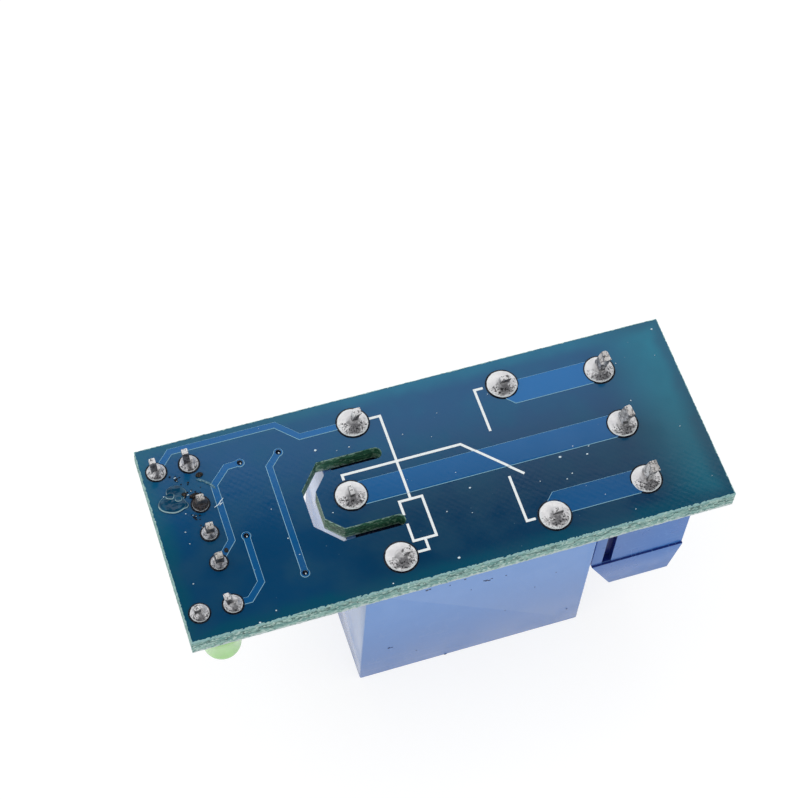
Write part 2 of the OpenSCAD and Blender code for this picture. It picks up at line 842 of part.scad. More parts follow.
module terminal_housing() {
  end_y = terminal_l / 2;
  groove_x = back_x + groove_back + groove_w / 2;
  color("mediumblue")
    at_terminals()
      difference() {
        union() {
          translate([0, end_y, 0])
            rotate([90, 0, 0])
              linear_extrude(terminal_l)
                terminal_profile();
          translate([groove_x, end_y, 0])
            linear_extrude(shoulder_h - 0.6)
              groove_2d(0.1);
        }
        // The end wall and its groove are sunk as far as the shoulder
        span([back_x - 1, -end_y - 1, -1], [front_x + 1, end_recess - end_y, shoulder_h]);
        translate([groove_x, end_recess - end_y, -1])
          linear_extrude(shoulder_h + 1)
            groove_2d(0);
        for (i = [-1:1]) translate([0, i * terminal_pitch, 0]) chamber();
      }
}

// One clamp's room, with its wire entry, its screw well and its pin slot
module chamber() {
  room = 0.1;
  block(cage_d + 2 * room, chamber_w, floor_t, cage_top + room);
  translate([0, 0, cage_top]) cylinder(r = well_r, h = terminal_h);
  span([0, -entry_w / 2, floor_t + 0.3], [front_x + 1, entry_w / 2, floor_t + 0.3 + entry_h]);
  span([front_x - 0.4, -entry_w / 2 - 0.35, floor_t], [front_x + 1, entry_w / 2 + 0.35,
    floor_t + 0.6 + entry_h]);
  translate([0, 0, -1]) cylinder(r = terminal_pad_r + 0.2, h = 1.3);
  block(terminal_pin_t, terminal_pin_w, -1, floor_t + eps);
}

// A bent sheet cage with its own solder pin, whose end was cut off at a slant
module terminal_cage(i) {
  z1 = cage_top;
  color("silver")
    at_terminals()
      translate([0, TERMINALS[i].y, 0]) {
        difference() {
          block(cage_d, cage_w, floor_t, z1);
          block(cage_d + 1, cage_w - 2 * cage_wall, floor_t + cage_wall, z1 - nut_t);
          translate([0, 0, floor_t + cage_wall]) cylinder(r = screw_r + fit_gap, h = terminal_h);
        }
        terminal_pin_solid();
      }
}

module terminal_pin_solid() {
  bend = board_t + terminal_stub / 2;
  block(terminal_pin_t, terminal_pin_w, -bend, floor_t + eps);
  translate([0, 0, -bend])
    rotate([0, -terminal_lean, 0])
      difference() {
        block(terminal_pin_t, terminal_pin_w, -terminal_stub / 2, 0.15);
        translate([0, 0, -terminal_stub / 2]) rotate([0, 35, 0]) block(4, 4, -2, 0);
      }
}

module terminal_plate(i) {
  color("silver")
    at_terminals()
      translate([0, TERMINALS[i].y, plate_level])
        block(cage_d - 0.6, cage_w - 2 * cage_wall - 0.2, 0, plate_t);
}

module terminal_screw(i) {
  shank_end = plate_level + plate_t;
  color("silver")
    at_terminals()
      translate([0, TERMINALS[i].y, 0])
        difference() {
          union() {
            translate([0, 0, shank_end]) cylinder(r = screw_r, h = head_level - shank_end);
            translate([0, 0, head_level]) cylinder(r = head_r, h = head_h);
          }
          block(2 * head_r + 1, driver_w, head_level + head_h * 0.45, terminal_h);
        }
}

// ---- header ----

module header_strip() {
  color("#222222")
    under_board()
      difference() {
        for (p = HEADERS) at(p)
          translate([0, 0, header_lift])
            linear_extrude(header_h)
              chamfered_2d(header_w, header_pitch, 0.35);
        for (p = HEADERS) header_pin_solid(p);
      }
}

// A rectangle with its corners cut off
module chamfered_2d(l, w, c) {
  x = l / 2;
  y = w / 2;
  polygon([[c - x, -y], [x - c, -y], [x, c - y], [x, y - c], [x - c, y], [c - x, y], [-x, y - c],
    [-x, c - y]]);
}

module header_pin_solid(p) {
  at(p)
    block(header_pin_w, header_pin_w, -board_t - header_stub, header_lift + header_h + header_free);
}

module header_pin(i) {
  color("gold") under_board() header_pin_solid(HEADERS[i]);
}

// ---- lamps ----

// Moves a shape to a lamp and leans it: 1 is the far side's lamp, -1 the near side's
module at_lamp(side) {
  under_board()
    translate([lamp_x, side * lamp_y, 0])
      rotate([0, lamp_lean, 0])
        children();
}

module lamp_lens(side, shade) {
  color(shade)
    at_lamp(side)
      difference() {
        translate([0, 0, lamp_gap])
          rotate_extrude()
            polygon(concat([[0, 0], [rim_r, 0], [rim_r, rim_h], [lens_r, rim_h]],
              [for (a = [0:10:90]) [lens_r * cos(a), lamp_h - lens_r + lens_r * sin(a)]]));
        span([rim_r - 0.25, -3, lamp_gap - 1], [3, 3, lamp_gap + rim_h]);
        lamp_anode_solid(3);
        lamp_cathode_solid(3);
      }
}

// The post of the lead frame
module lamp_anode_solid(stub) {
  translate([-lead_pitch / 2, 0, 0]) block(lead_w, lead_w, -board_t - stub, lamp_gap + 2.6);
}

// The anvil of the lead frame, with the cup that holds the crystal
module lamp_cathode_solid(stub) {
  translate([lead_pitch / 2, 0, 0]) block(lead_w, lead_w, -board_t - stub, lamp_gap + 2.2);
  span([-0.6, -lead_w / 2, lamp_gap + 1.6], [lead_pitch / 2, lead_w / 2, lamp_gap + 2.4]);
}

module lamp_anode(side, stub) {
  color("silver") at_lamp(side) lamp_anode_solid(stub);
}

module lamp_cathode(side, stub) {
  color("silver") at_lamp(side) lamp_cathode_solid(stub);
}

// ---- surface parts: they stand on the lands ----

module chip(i) {
  color("#1c1c1c")
    under_board()
      at(CHIPS[i][0]) rotate(CHIPS[i][1])
        block(chip_l - 2 * chip_end, chip_w, land_z, land_z + chip_h);
}

module resistor_ends() {
  color("silver")
    under_board()
      for (c = CHIPS) at(c[0]) rotate(c[1]) for (s = [-1, 1])
        translate([s * (chip_l - chip_end) / 2, 0, 0]) block(chip_end, chip_w, land_z, land_z + chip_h);
}

// A small block with a bevel along each side of its face
module transistor_body() {
  z0 = land_z + 0.08;
  z1 = z0 + transistor_h;
  color("#1c1c1c")
    under_board()
      at(transistor_at)
        difference() {
          block(transistor_l, transistor_w, z0, z1);
          for (s = [-1, 1]) translate([0, s * transistor_w / 2, z1])
            rotate([s * 30, 0, 0]) block(transistor_l + 1, 0.3, -0.35, 0.3);
        }
}

// Three bent leads: each leaves the body's side and steps down to its land
module transistor_leads() {
  mid = land_z + 0.08 + transistor_h / 2;
  knee = transistor_reach - transistor_w / 2 - 0.15;
  color("silver")
    under_board()
      for (i = [0:2]) {
        p = transistor_foot(i);
        side = sign(p.y - transistor_at.y);
        translate([p.x, transistor_at.y + side * transistor_w / 2, 0])
          mirror([0, side < 0 ? 1 : 0, 0]) {
            span([-lead_half, 0, mid - lead_t / 2], [lead_half, knee, mid + lead_t / 2]);
            span([-lead_half, knee - lead_t, land_z], [lead_half, knee, mid + lead_t / 2]);
            span([-lead_half, knee - lead_t, land_z], [lead_half, 2 * knee, land_z + lead_t]);
          }
      }
}

module at_diode() {
  under_board() at(diode_at) translate([0, 0, land_z + diode_r]) rotate([0, 90, 0]) children();
}

module diode_glass() {
  color("darkorange")
    at_diode() cylinder(r = diode_r - 0.05, h = diode_l - 2 * diode_cap, center = true);
}

module diode_ends() {
  color("silver")
    at_diode()
      for (s = [-1, 1]) translate([0, 0, s * (diode_l - diode_cap) / 2])
        cylinder(r = diode_r, h = diode_cap, center = true);
}

// ---- solder ----

// A joint whose flank sweeps up from its land to the pin, with the plug that fills the hole
module joint(p, r, hole, h) {
  crown = hole - hole_room / 4;
  steps = 5;
  translate([p.x, p.y, core_top + copper_t])
    rotate_extrude()
      polygon(concat([[0, 0]], [for (i = [0:steps]) let (a = 90 * i / steps)
        [r - (r - crown) * (sin(a) * 0.5 + 0.5 * i / steps), h * ((1 - cos(a)) * 0.5 + 0.5 * i / steps)]],
        [[0, h]]));
  translate([p.x, p.y, core_bottom - copper_t])
    cylinder(r = hole, h = core_top - core_bottom + 2 * copper_t);
}

module relay_solder() {
  color("lightgray")
    difference() {
      for (p = RELAY_PINS) joint(p, relay_pad_r, relay_hole, joint_h);
      under_board() relay_pins_solid();
    }
}

module terminal_solder() {
  color("lightgray")
    difference() {
      for (p = TERMINALS) joint(p, terminal_pad_r, terminal_hole, joint_h + 0.15);
      for (p = TERMINALS) at_terminals() translate([0, p.y, 0]) terminal_pin_solid();
    }
}

module header_solder() {
  color("lightgray")
    difference() {
      for (p = HEADERS) joint(p, header_pad_r, header_hole, joint_h);
      under_board() for (p = HEADERS) header_pin_solid(p);
    }
}

module lamp_solder() {
  color("lightgray")
    difference() {
      for (p = LAMP_LEADS) joint(p, lamp_pad_r, lamp_hole, joint_h);
      for (s = [-1, 1]) at_lamp(s) {
        lamp_anode_solid(3);
        lamp_cathode_solid(3);
      }
    }
}

// A wedge of solder against the end of a surface part
module wedge(w, h) {
  rotate([90, 0, 0]) translate([0, 0, -w / 2]) linear_extrude(w) polygon([[0, 0], [0.4, 0], [0, h]]);
}

module surface_solder() {
  color("lightgray")
    under_board() {
      for (c = CHIPS) at(c[0]) rotate(c[1]) for (s = [0, 180])
        rotate(s) translate([chip_l / 2, 0, land_z]) wedge(chip_w, chip_h * 0.8);
      at(diode_at) for (s = [0, 180])
        rotate(s) translate([diode_l / 2, 0, land_z]) wedge(1, diode_r);
    }
}

board();
solder_side_copper();
component_side_copper();
solder_side_mask();
component_side_mask();
solder_side_legend();
component_side_legend();
hole_platings();
relay_case();
relay_base();
relay_resin();
coil_bobbin();
coil_winding();
coil_core();
yoke();
armature();
contact_spring();
moving_contact();
common_pin();
coil_pin(coil_1);  // coil_pin_1
coil_pin(coil_2);  // coil_pin_2
closed_contact();
open_contact();
terminal_housing();
terminal_cage(0);  // terminal_cage_1
terminal_cage(1);  // terminal_cage_2
terminal_cage(2);  // terminal_cage_3
terminal_plate(0);  // terminal_plate_1
terminal_plate(1);  // terminal_plate_2
terminal_plate(2);  // terminal_plate_3
terminal_screw(0);  // terminal_screw_1
terminal_screw(1);  // terminal_screw_2
terminal_screw(2);  // terminal_screw_3
header_strip();
header_pin(0);  // header_pin_1
header_pin(1);  // header_pin_2
header_pin(2);  // header_pin_3
lamp_lens(1, "tomato");  // red_lamp_lens
lamp_anode(1, red_stub);  // red_lamp_anode
lamp_cathode(1, red_stub);  // red_lamp_cathode
lamp_lens(-1, "palegreen");  // green_lamp_lens
lamp_anode(-1, green_stub);  // green_lamp_anode
lamp_cathode(-1, green_stub);  // green_lamp_cathode
transistor_body();
transistor_leads();
diode_glass();
diode_ends();
chip(0);  // resistor_1
chip(1);  // resistor_2
chip(2);  // resistor_3
resistor_ends();
relay_solder();
terminal_solder();
header_solder();
lamp_solder();
surface_solder();
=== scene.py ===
"""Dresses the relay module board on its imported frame.

The board lies solder side up on its relay. Each sub-assembly is a class that
holds its own sizes, each finish is a small frozen dataclass, and main() builds
them in order. Sizes are written in millimetres and turn into metres where they
meet Blender.
"""

import sys
import json
import logging
import math
import random
from collections.abc import Callable, Iterator, Sequence
from contextlib import contextmanager
from dataclasses import dataclass
from enum import Enum
from functools import reduce

import bmesh
import bpy
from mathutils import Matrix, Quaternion, Vector

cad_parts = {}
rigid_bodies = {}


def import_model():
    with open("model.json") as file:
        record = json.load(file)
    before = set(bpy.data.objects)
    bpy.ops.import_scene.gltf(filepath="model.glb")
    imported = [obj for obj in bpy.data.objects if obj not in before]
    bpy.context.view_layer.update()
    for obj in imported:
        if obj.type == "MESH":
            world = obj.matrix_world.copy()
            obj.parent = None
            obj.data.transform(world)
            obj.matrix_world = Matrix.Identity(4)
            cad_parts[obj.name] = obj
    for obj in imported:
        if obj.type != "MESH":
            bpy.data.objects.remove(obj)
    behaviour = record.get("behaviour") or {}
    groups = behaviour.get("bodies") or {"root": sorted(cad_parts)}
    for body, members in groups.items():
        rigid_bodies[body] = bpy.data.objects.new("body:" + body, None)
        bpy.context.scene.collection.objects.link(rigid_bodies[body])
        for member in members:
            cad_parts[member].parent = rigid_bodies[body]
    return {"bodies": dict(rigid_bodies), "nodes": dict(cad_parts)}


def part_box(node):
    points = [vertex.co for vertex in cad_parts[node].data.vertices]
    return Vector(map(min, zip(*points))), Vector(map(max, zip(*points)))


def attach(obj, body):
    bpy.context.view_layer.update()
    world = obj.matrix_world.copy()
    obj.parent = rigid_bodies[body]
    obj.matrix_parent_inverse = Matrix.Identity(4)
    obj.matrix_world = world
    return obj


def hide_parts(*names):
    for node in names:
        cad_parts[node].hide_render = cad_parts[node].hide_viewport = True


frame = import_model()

LOG = logging.getLogger("relay_module")
MM = 0.001
BOARD_TOP = 16.8
BOARD_FOOT = 15.2
STUB_START = 16.95
SAME_PLACE = 4e-6
Colour = tuple[float, float, float, float]
Point = tuple[float, float, float]
Spot = tuple[float, float]
Piece = bpy.types.Object
Socket = bpy.types.NodeSocket
Sockets = bpy.types.bpy_prop_collection
Feed = float | tuple | Socket


def mm(x: float, y: float, z: float) -> Vector:
    """A place or size given in millimetres, in metres."""
    return Vector((x, y, z)) * MM


def srgb(red: float, green: float, blue: float) -> Colour:
    """Turns a display colour, from 0 to 255, into the linear colour that a shader takes."""
    shares = (red / 255, green / 255, blue / 255)
    return (*(s / 12.92 if s <= 0.04045 else ((s + 0.055) / 1.055) ** 2.4 for s in shares), 1.0)


class Element(Enum):
    """What a selection in edit mode is made of, named as its select mode."""

    VERT = "verts"
    EDGE = "edges"
    FACE = "faces"


# ---------------------------------------------------------------- modelling


class Bench:
    """Shapes meshes with Blender's operators, one object in hand at a time."""

    @staticmethod
    def clear() -> None:
        """Lets go of everything that is selected."""
        bpy.ops.object.select_all(action="DESELECT")

    @staticmethod
    def pick(obj: Piece) -> Piece:
        """Selects one object alone and makes it the active one.

        Args:
            obj: The object to take in hand.

        Returns:
            The same object.
        """
        Bench.clear()
        obj.select_set(True)
        bpy.context.view_layer.objects.active = obj
        return obj

    @staticmethod
    def settle(name: str) -> Piece:
        """Names the new active object and moves its place into its mesh.

        Args:
            name: The piece's name.

        Returns:
            The object, at the origin and unturned.
        """
        obj = Bench.pick(bpy.context.active_object)
        obj.name = obj.data.name = name
        bpy.ops.object.transform_apply(location=True, rotation=True, scale=True)
        return obj

    @staticmethod
    def block(name: str, low: Vector, high: Vector) -> Piece:
        """Starts a piece from a box between two corners.

        Args:
            name: The piece's name.
            low: The lowest corner.
            high: The highest corner.

        Returns:
            The new piece.
        """
        Bench.clear()
        bpy.ops.mesh.primitive_cube_add(size=1, location=(low + high) / 2, scale=high - low)
        return Bench.settle(name)

    @staticmethod
    def disc(name: str, centre: Vector, radius: float, sides: int = 24) -> Piece:
        """Starts a piece from a flat filled circle.

        Args:
            name: The piece's name.
            centre: The middle of the circle.
            radius: The radius in millimetres.
            sides: How many corners the circle has.

        Returns:
            The new piece.
        """
        Bench.clear()
        bpy.ops.mesh.primitive_circle_add(
            vertices=sides, radius=radius * MM, fill_type="NGON", location=centre)
        return Bench.settle(name)

    @staticmethod
    def lump(name: str, centre: Vector, size: Vector, seed: int, turn: float = 0.0) -> Piece:
        """Makes a small irregular grain from an icosphere.

        Args:
            name: The piece's name.
            centre: The middle of the grain.
            size: Its three half widths in metres.
            seed: The seed that shakes its corners.
            turn: How far it is turned on the board, in degrees.

        Returns:
            The grain.
        """
        Bench.clear()
        bpy.ops.mesh.primitive_ico_sphere_add(
            subdivisions=2, radius=1, location=centre, scale=size, rotation=(0, 0, math.radians(turn)))
        grain = Bench.settle(name)
        Bench.shake(grain, min(size) * 0.45, seed)
        return Bench.smooth(grain, 70)

    @staticmethod
    @contextmanager
    def editing(obj: Piece, element: Element = Element.FACE) -> Iterator[None]:
        """Holds an object in edit mode with all of it selected.

        Args:
            obj: The object to edit.
            element: What its selection is made of.

        Returns:
            Nothing; the object is back in object mode afterwards.
        """
        Bench.pick(obj)
        bpy.ops.object.mode_set(mode="EDIT")
        bpy.ops.mesh.select_mode(type=element.name)
        bpy.ops.mesh.select_all(action="SELECT")
        try:
            yield
        finally:
            bpy.ops.object.mode_set(mode="OBJECT")

    @staticmethod
    def choose(obj: Piece, element: Element, test: Callable) -> None:
        """Selects the corners, edges or faces that pass a test, and no others.

        Args:
            obj: The object in edit mode.
            element: What to look through.
            test: Takes one corner, edge or face and says whether it is chosen.
        """
        bpy.ops.mesh.select_mode(type=element.name)
        bpy.ops.mesh.select_all(action="DESELECT")
        sheet = bmesh.from_edit_mesh(obj.data)
        for part in getattr(sheet, element.value):
            if test(part):
                part.select_set(True)
        sheet.select_flush_mode()
        bmesh.update_edit_mesh(obj.data)

    @staticmethod
    def cut_across(levels: Sequence[float]) -> None:
        """Cuts what is in edit mode across, without parting it.

        Args:
            levels: The heights of the cuts in millimetres.
        """
        for level in levels:
            bpy.ops.mesh.select_all(action="SELECT")
            bpy.ops.mesh.bisect(plane_co=mm(0, 0, level), plane_no=(0, 0, 1))

    @staticmethod
    def shake(obj: Piece, offset: float, seed: int) -> None:
        """Shakes every corner of a piece by up to an offset in metres."""
        with Bench.editing(obj, Element.VERT):
            bpy.ops.transform.vertex_random(offset=offset, seed=seed)

    @staticmethod
    def extrude(rise: float) -> None:
        """Pushes the selected faces up by a rise in millimetres."""
        bpy.ops.mesh.extrude_region_move(TRANSFORM_OT_translate={"value": mm(0, 0, rise)})

    @staticmethod
    def scale(factor: float, centre: Vector) -> None:
        """Grows what is selected about a centre, level by level."""
        bpy.ops.transform.resize(value=(factor, factor, 1), center_override=centre)

    @staticmethod
    def modify(obj: Piece, kind: str, **settings: object) -> Piece:
        """Adds a modifier and applies it at once.

        Args:
            obj: The object to change.
            kind: The modifier's type.
            settings: The modifier's own settings.

        Returns:
            The same object.
        """
        Bench.pick(obj)
        modifier = obj.modifiers.new(kind.lower(), kind)
        for label, value in settings.items():
            setattr(modifier, label, value)
        bpy.ops.object.modifier_apply(modifier=modifier.name)
        return obj

    @staticmethod
    def round_off(obj: Piece, width: float, segments: int = 2) -> Piece:
        """Rounds the sharp edges of a piece by a width in millimetres and shades it smooth."""
        limit = {"limit_method": "ANGLE", "angle_limit": math.radians(30)}
        return Bench.smooth(Bench.modify(obj, "BEVEL", width=width * MM, segments=segments, **limit))

    @staticmethod
    def smooth(obj: Piece, angle: float = 35) -> Piece:
        """Shades a piece smooth, but for its sharp edges.

        Args:
            obj: The piece.
            angle: How sharp an edge stays, in degrees.

        Returns:
            The same piece.
        """
        Bench.pick(obj)
        bpy.ops.object.shade_smooth_by_angle(angle=math.radians(angle))
        return obj

    @staticmethod
    def facing_out(obj: Piece) -> None:
        """Merges doubled corners and turns every face outwards.

        Args:
            obj: The piece.
        """
        with Bench.editing(obj):
            bpy.ops.mesh.remove_doubles(threshold=1e-7)
            bpy.ops.mesh.normals_make_consistent(inside=False)

    @staticmethod
    def copy(obj: Piece, name: str, step: Vector) -> Piece:
        """Copies a piece with its own mesh and moves the copy.

        Args:
            obj: The piece to copy.
            name: The copy's name.
            step: How far the copy moves.

        Returns:
            The copy.
        """
        twin = bpy.data.objects.new(name, obj.data.copy())
        bpy.context.scene.collection.objects.link(twin)
        twin.location = step
        Bench.pick(twin)
        return Bench.settle(name)

    @staticmethod
    def from_node(node: str, name: str) -> Piece:
        """Copies a node of the frame as a clean solid that can be finished.

        Args:
            node: The node's name.
            name: The new piece's name.

        Returns:
            The copy, with its loose triangles merged into plain faces.
        """
        piece = Bench.copy(frame["nodes"][node], name, Vector((0, 0, 0)))
        piece.data.materials.clear()
        if piece.data.has_custom_normals:
            bpy.ops.mesh.customdata_custom_splitnormals_clear()
        with Bench.editing(piece):
            bpy.ops.mesh.remove_doubles(threshold=1e-6)
            bpy.ops.mesh.dissolve_limited(angle_limit=math.radians(1))
        return piece

    @staticmethod
    def join(name: str, parts: list[Piece]) -> Piece:
        """Joins parts into one piece.

        Args:
            name: The piece's name.
            parts: The parts, which become one.

        Returns:
            The joined piece.
        """
        Bench.pick(parts[0])
        for part in parts:
            part.select_set(True)
        bpy.ops.object.join()
        return Bench.settle(name)

    @staticmethod
    def roughen(obj: Piece, depth: float, size: float) -> Piece:
        """Pushes a surface in and out with soft clouds.

        Args:
            obj: The piece.
            depth: How far it moves in all, in millimetres.
            size: The size of one cloud in millimetres.

        Returns:
            The same piece.
        """
        clouds = bpy.data.textures.new("surface_clouds", "CLOUDS")
        clouds.noise_scale = size * MM
        return Bench.modify(obj, "DISPLACE", texture=clouds, texture_coords="LOCAL",
                            strength=depth * MM, mid_level=0.5)


# ---------------------------------------------------------------- materials


class Recipe:
    """Lays out one tree of shader nodes in plain calls."""

    def __init__(self, tree: bpy.types.NodeTree) -> None:
        """Empties a tree and takes it in hand.

        Args:
            tree: The tree of a material, a world or a node group.
        """
        self.tree = tree
        self.shader: bpy.types.Node | None = None
        tree.nodes.clear()

    def node(self, kind: str, feeds: dict | None = None, **settings: object) -> bpy.types.Node:
        """Adds a node.

        Args:
            kind: The node's type without its ShaderNode prefix.
            feeds: What each input gets, by the input's name or number.
            settings: The node's own settings.

        Returns:
            The new node.
        """
        made = self.tree.nodes.new(f"ShaderNode{kind}")
        for label, value in settings.items():
            setattr(made, label, value)
        for label, value in (feeds or {}).items():
            self.feed(made.inputs[label], value)
        return made

    def feed(self, socket: Socket, value: Feed) -> None:
        """Links a socket to an input, or writes a number or colour on it.

        Args:
            socket: The input.
            value: What it gets.
        """
        if isinstance(value, Socket):
            self.tree.links.new(value, socket)
        else:
            socket.default_value = value

    def surface(self, **feeds: Feed) -> None:
        """Feeds the Principled shader, whose inputs are named in small letters."""
        for label, value in feeds.items():
            self.feed(self.shader.inputs[label.replace("_", " ").title()], value)

    def place(self) -> Socket:
        """The place on the object in millimetres."""
        scale = (1 / MM, 1 / MM, 1 / MM)
        return self.node("Mapping", {"Vector": self.node("TexCoord").outputs["Object"], "Scale": scale}).outputs[0]

    def steps(self, size: Feed) -> Socket:
        """The place on the object, counted in steps of a size in millimetres."""
        step = self.node("CombineXYZ", {0: size, 1: size, 2: size}).outputs[0]
        return self.node("VectorMath", {0: self.place(), 1: step}, operation="DIVIDE").outputs[0]

    def split(self, vector: Feed) -> tuple[Socket, ...]:
        """The x, y and z of a vector."""
        return tuple(self.node("SeparateXYZ", {0: vector}).outputs)

    def facing(self) -> tuple[Socket, ...]:
        """The x, y and z of the way that the surface faces."""
        return self.split(self.node("NewGeometry").outputs["Normal"])

    def math(self, operation: str, a: Feed, b: Feed = 0.0) -> Socket:
        """One step of arithmetic, named by its operation."""
        return self.node("Math", {0: a, 1: b}, operation=operation).outputs[0]

    def product(self, *factors: Feed) -> Socket:
        """Multiplies numbers with one another."""
        return reduce(lambda a, b: self.math("MULTIPLY", a, b), factors)

    def gap(self, a: Feed, b: Feed) -> Socket:
        """How far two numbers lie apart."""
        return self.math("ABSOLUTE", self.math("SUBTRACT", a, b))

    def fade(self, value: Feed, start: float, end: float, low: float = 0.0, high: float = 1.0) -> Socket:
        """Fades from low to high while a value goes from start to end."""
        feeds = {0: value, 1: start, 2: end, 3: low, 4: high}
        return self.node("MapRange", feeds, interpolation_type="SMOOTHSTEP").outputs[0]

    def mix(self, share: Feed, a: Feed, b: Feed) -> Socket:
        """Mixes two colours, with a share of the second one."""
        return self.node("Mix", {0: share, 6: a, 7: b}, data_type="RGBA").outputs[2]

    def tint(self, a: Feed, b: Feed, value: Feed, start: float, end: float, most: float = 1.0) -> Socket:
        """Mixes up to the most of a second colour in while a value goes from start to end."""
        return self.mix(self.fade(value, start, end, 0.0, most), a, b)

    def brighten(self, colour: Feed, share: Feed) -> Socket:
        """Makes a colour brighter by a share of itself."""
        return self.node("HueSaturation", {"Color": colour, "Value": self.math("ADD", 1.0, share)}).outputs[0]

    def noise(self, vector: Feed, scale: float, detail: float = 3.0) -> Socket:
        """Soft noise from 0 to 1, with this many patches to a unit and this many finer layers."""
        return self.node("TexNoise", {"Vector": vector, "Scale": scale, "Detail": detail}).outputs[0]

    def bump(self, height: Feed, depth: float, strength: float = 1.0) -> Socket:
        """Turns a height into a normal, with the depth of one unit in millimetres."""
        return self.node("Bump", {"Height": height, "Distance": depth * MM, "Strength": strength}).outputs[0]

    def effect(self, effect: "Effect", **values: float) -> tuple[Socket, ...]:
        """Places a shared effect.

        Args:
            effect: Which one.
            values: Its inputs by name.

        Returns:
            What it puts out.
        """
        made = self.node("Group", node_tree=effect.group())
        for label, value in values.items():
            made.inputs[label.title()].default_value = value
        return tuple(made.outputs)


class Effect(Enum):
    """Effects that several finishes share, each a node group built once."""

    GRAIN = "surface_grain"
    SPECKS = "dust_specks"
    SCRATCHES = "fine_scratches"
    WEAR = "edge_wear"

    def group(self) -> bpy.types.NodeTree:
        """Builds the effect's node group when it is first asked for.

        Returns:
            The node group.
        """
        found = bpy.data.node_groups.get(self.value)
        if found:
            return found
        tree = bpy.data.node_groups.new(self.value, "ShaderNodeTree")
        recipe = Recipe(tree)
        inside = tree.nodes.new("NodeGroupInput")
        outside = tree.nodes.new("NodeGroupOutput")
        maker, inputs, outputs = EFFECT_PLANS[self]
        kind = "NodeSocketFloat"
        for label, value in inputs.items():
            tree.interface.new_socket(label, in_out="INPUT", socket_type=kind).default_value = value
        for label in outputs:
            tree.interface.new_socket(label, in_out="OUTPUT", socket_type=kind)
        for label, result in zip(outputs, maker(recipe, inside.outputs), strict=True):
            recipe.feed(outside.inputs[label], result)
        return tree


def make_grain(recipe: Recipe, inputs: Sockets) -> list[Socket]:
    """Fine unevenness and broad patches, at a size in millimetres."""
    spread = recipe.steps(inputs["Size"])
    return [recipe.noise(spread, 1.0, 5.0), recipe.noise(spread, 0.17, 2.0)]


def make_specks(recipe: Recipe, inputs: Sockets) -> list[Socket]:
    """Scattered specks, a share of the cells of a given spacing.

    Args:
        recipe: The group's tree.
        inputs: The group's inputs.

    Returns:
        The mask of the specks.
    """
    cells = recipe.node("TexVoronoi", {"Vector": recipe.steps(inputs["Spacing"]), "Scale": 1.0})
    chance, size, _ = recipe.node("SeparateColor", {0: cells.outputs["Color"]}).outputs
    kept = recipe.math("LESS_THAN", chance, inputs["Share"])
    radius = recipe.product(recipe.fade(size, 0, 1, 0.25, 1.0), inputs["Size"])
    inside = recipe.math("SUBTRACT", radius, cells.outputs["Distance"])
    return [recipe.product(kept, recipe.fade(inside, 0.0, 0.06))]


def make_scratches(recipe: Recipe, inputs: Sockets) -> list[Socket]:
    """Thin broken scratches in two directions.

    Args:
        recipe: The group's tree.
        inputs: The group's inputs.

    Returns:
        The mask of the scratches.
    """
    spread = recipe.steps(inputs["Spacing"])
    found = []
    for turn, stretch in (((0.3, 0.5, 0.2), (0.05, 1.0, 1.0)), ((1.1, 0.2, 0.9), (1.0, 0.07, 1.0))):
        lines = recipe.node("Mapping", {"Vector": spread, "Rotation": turn, "Scale": stretch}).outputs[0]
        found.append(recipe.fade(recipe.gap(recipe.noise(lines, 1.6, 1.0), 0.5), 0.012, 0.002))
    broken = recipe.math("GREATER_THAN", inputs["Share"], recipe.noise(spread, 0.35, 2.0))
    return [recipe.product(recipe.math("MAXIMUM", *found), broken)]


def make_wear(recipe: Recipe, inputs: Sockets) -> list[Socket]:
    """Edges that rubbing has worn, found from the shape itself.

    Args:
        recipe: The group's tree.
        inputs: The group's inputs.

    Returns:
        The mask of the worn edges.
    """
    rounded = recipe.node("Bevel", {"Radius": inputs["Radius"]}, samples=4).outputs[0]
    plain = recipe.node("NewGeometry").outputs["Normal"]
    dot = recipe.node("VectorMath", {0: rounded, 1: plain}, operation="DOT_PRODUCT").outputs["Value"]
    rubbed = recipe.fade(recipe.noise(recipe.place(), 1.7, 4.0), 0.38, 0.62)
    return [recipe.product(recipe.fade(dot, 0.985, 0.85), rubbed)]


EFFECT_PLANS: dict[Effect, tuple[Callable, dict[str, float], tuple[str, ...]]] = {
    Effect.GRAIN: (make_grain, {"Size": 0.2}, ("Fine", "Patches")),
    Effect.SPECKS: (make_specks, {"Spacing": 1.0, "Share": 0.2, "Size": 0.2}, ("Mask",)),
    Effect.SCRATCHES: (make_scratches, {"Spacing": 1.0, "Share": 0.5}, ("Mask",)),
    Effect.WEAR: (make_wear, {"Radius": 0.0001}, ("Mask",)),
}


@dataclass(frozen=True)
class Finish:
    """A finish of one or more pieces, built as a material when first used."""

    name: str
    colour: Colour
    roughness: float = 0.5

    def make(self) -> bpy.types.Material:
        """Builds the finish's material when it is first asked for.

        Returns:
            The material.
        """
        found = bpy.data.materials.get(self.name)
        if found:
            return found
        material = bpy.data.materials.new(self.name)
        material.use_nodes = True
        recipe = Recipe(material.node_tree)
        recipe.shader = recipe.node("BsdfPrincipled", {"Base Color": self.colour, "Roughness": self.roughness})
        recipe.node("OutputMaterial", {"Surface": recipe.shader.outputs[0]})
        self.dress(recipe)
        return material

    def dress(self, recipe: Recipe) -> None:
        """Adds what makes this finish its own; each kind of finish has its own."""
        raise NotImplementedError

    def gloss(self, recipe: Recipe, value: Feed, less: float, more: float) -> Socket:
        """The roughness, from less to more than the plain one as a value from 0 to 1 rises."""
        return recipe.fade(value, 0.3, 0.7, self.roughness - less, self.roughness + more)


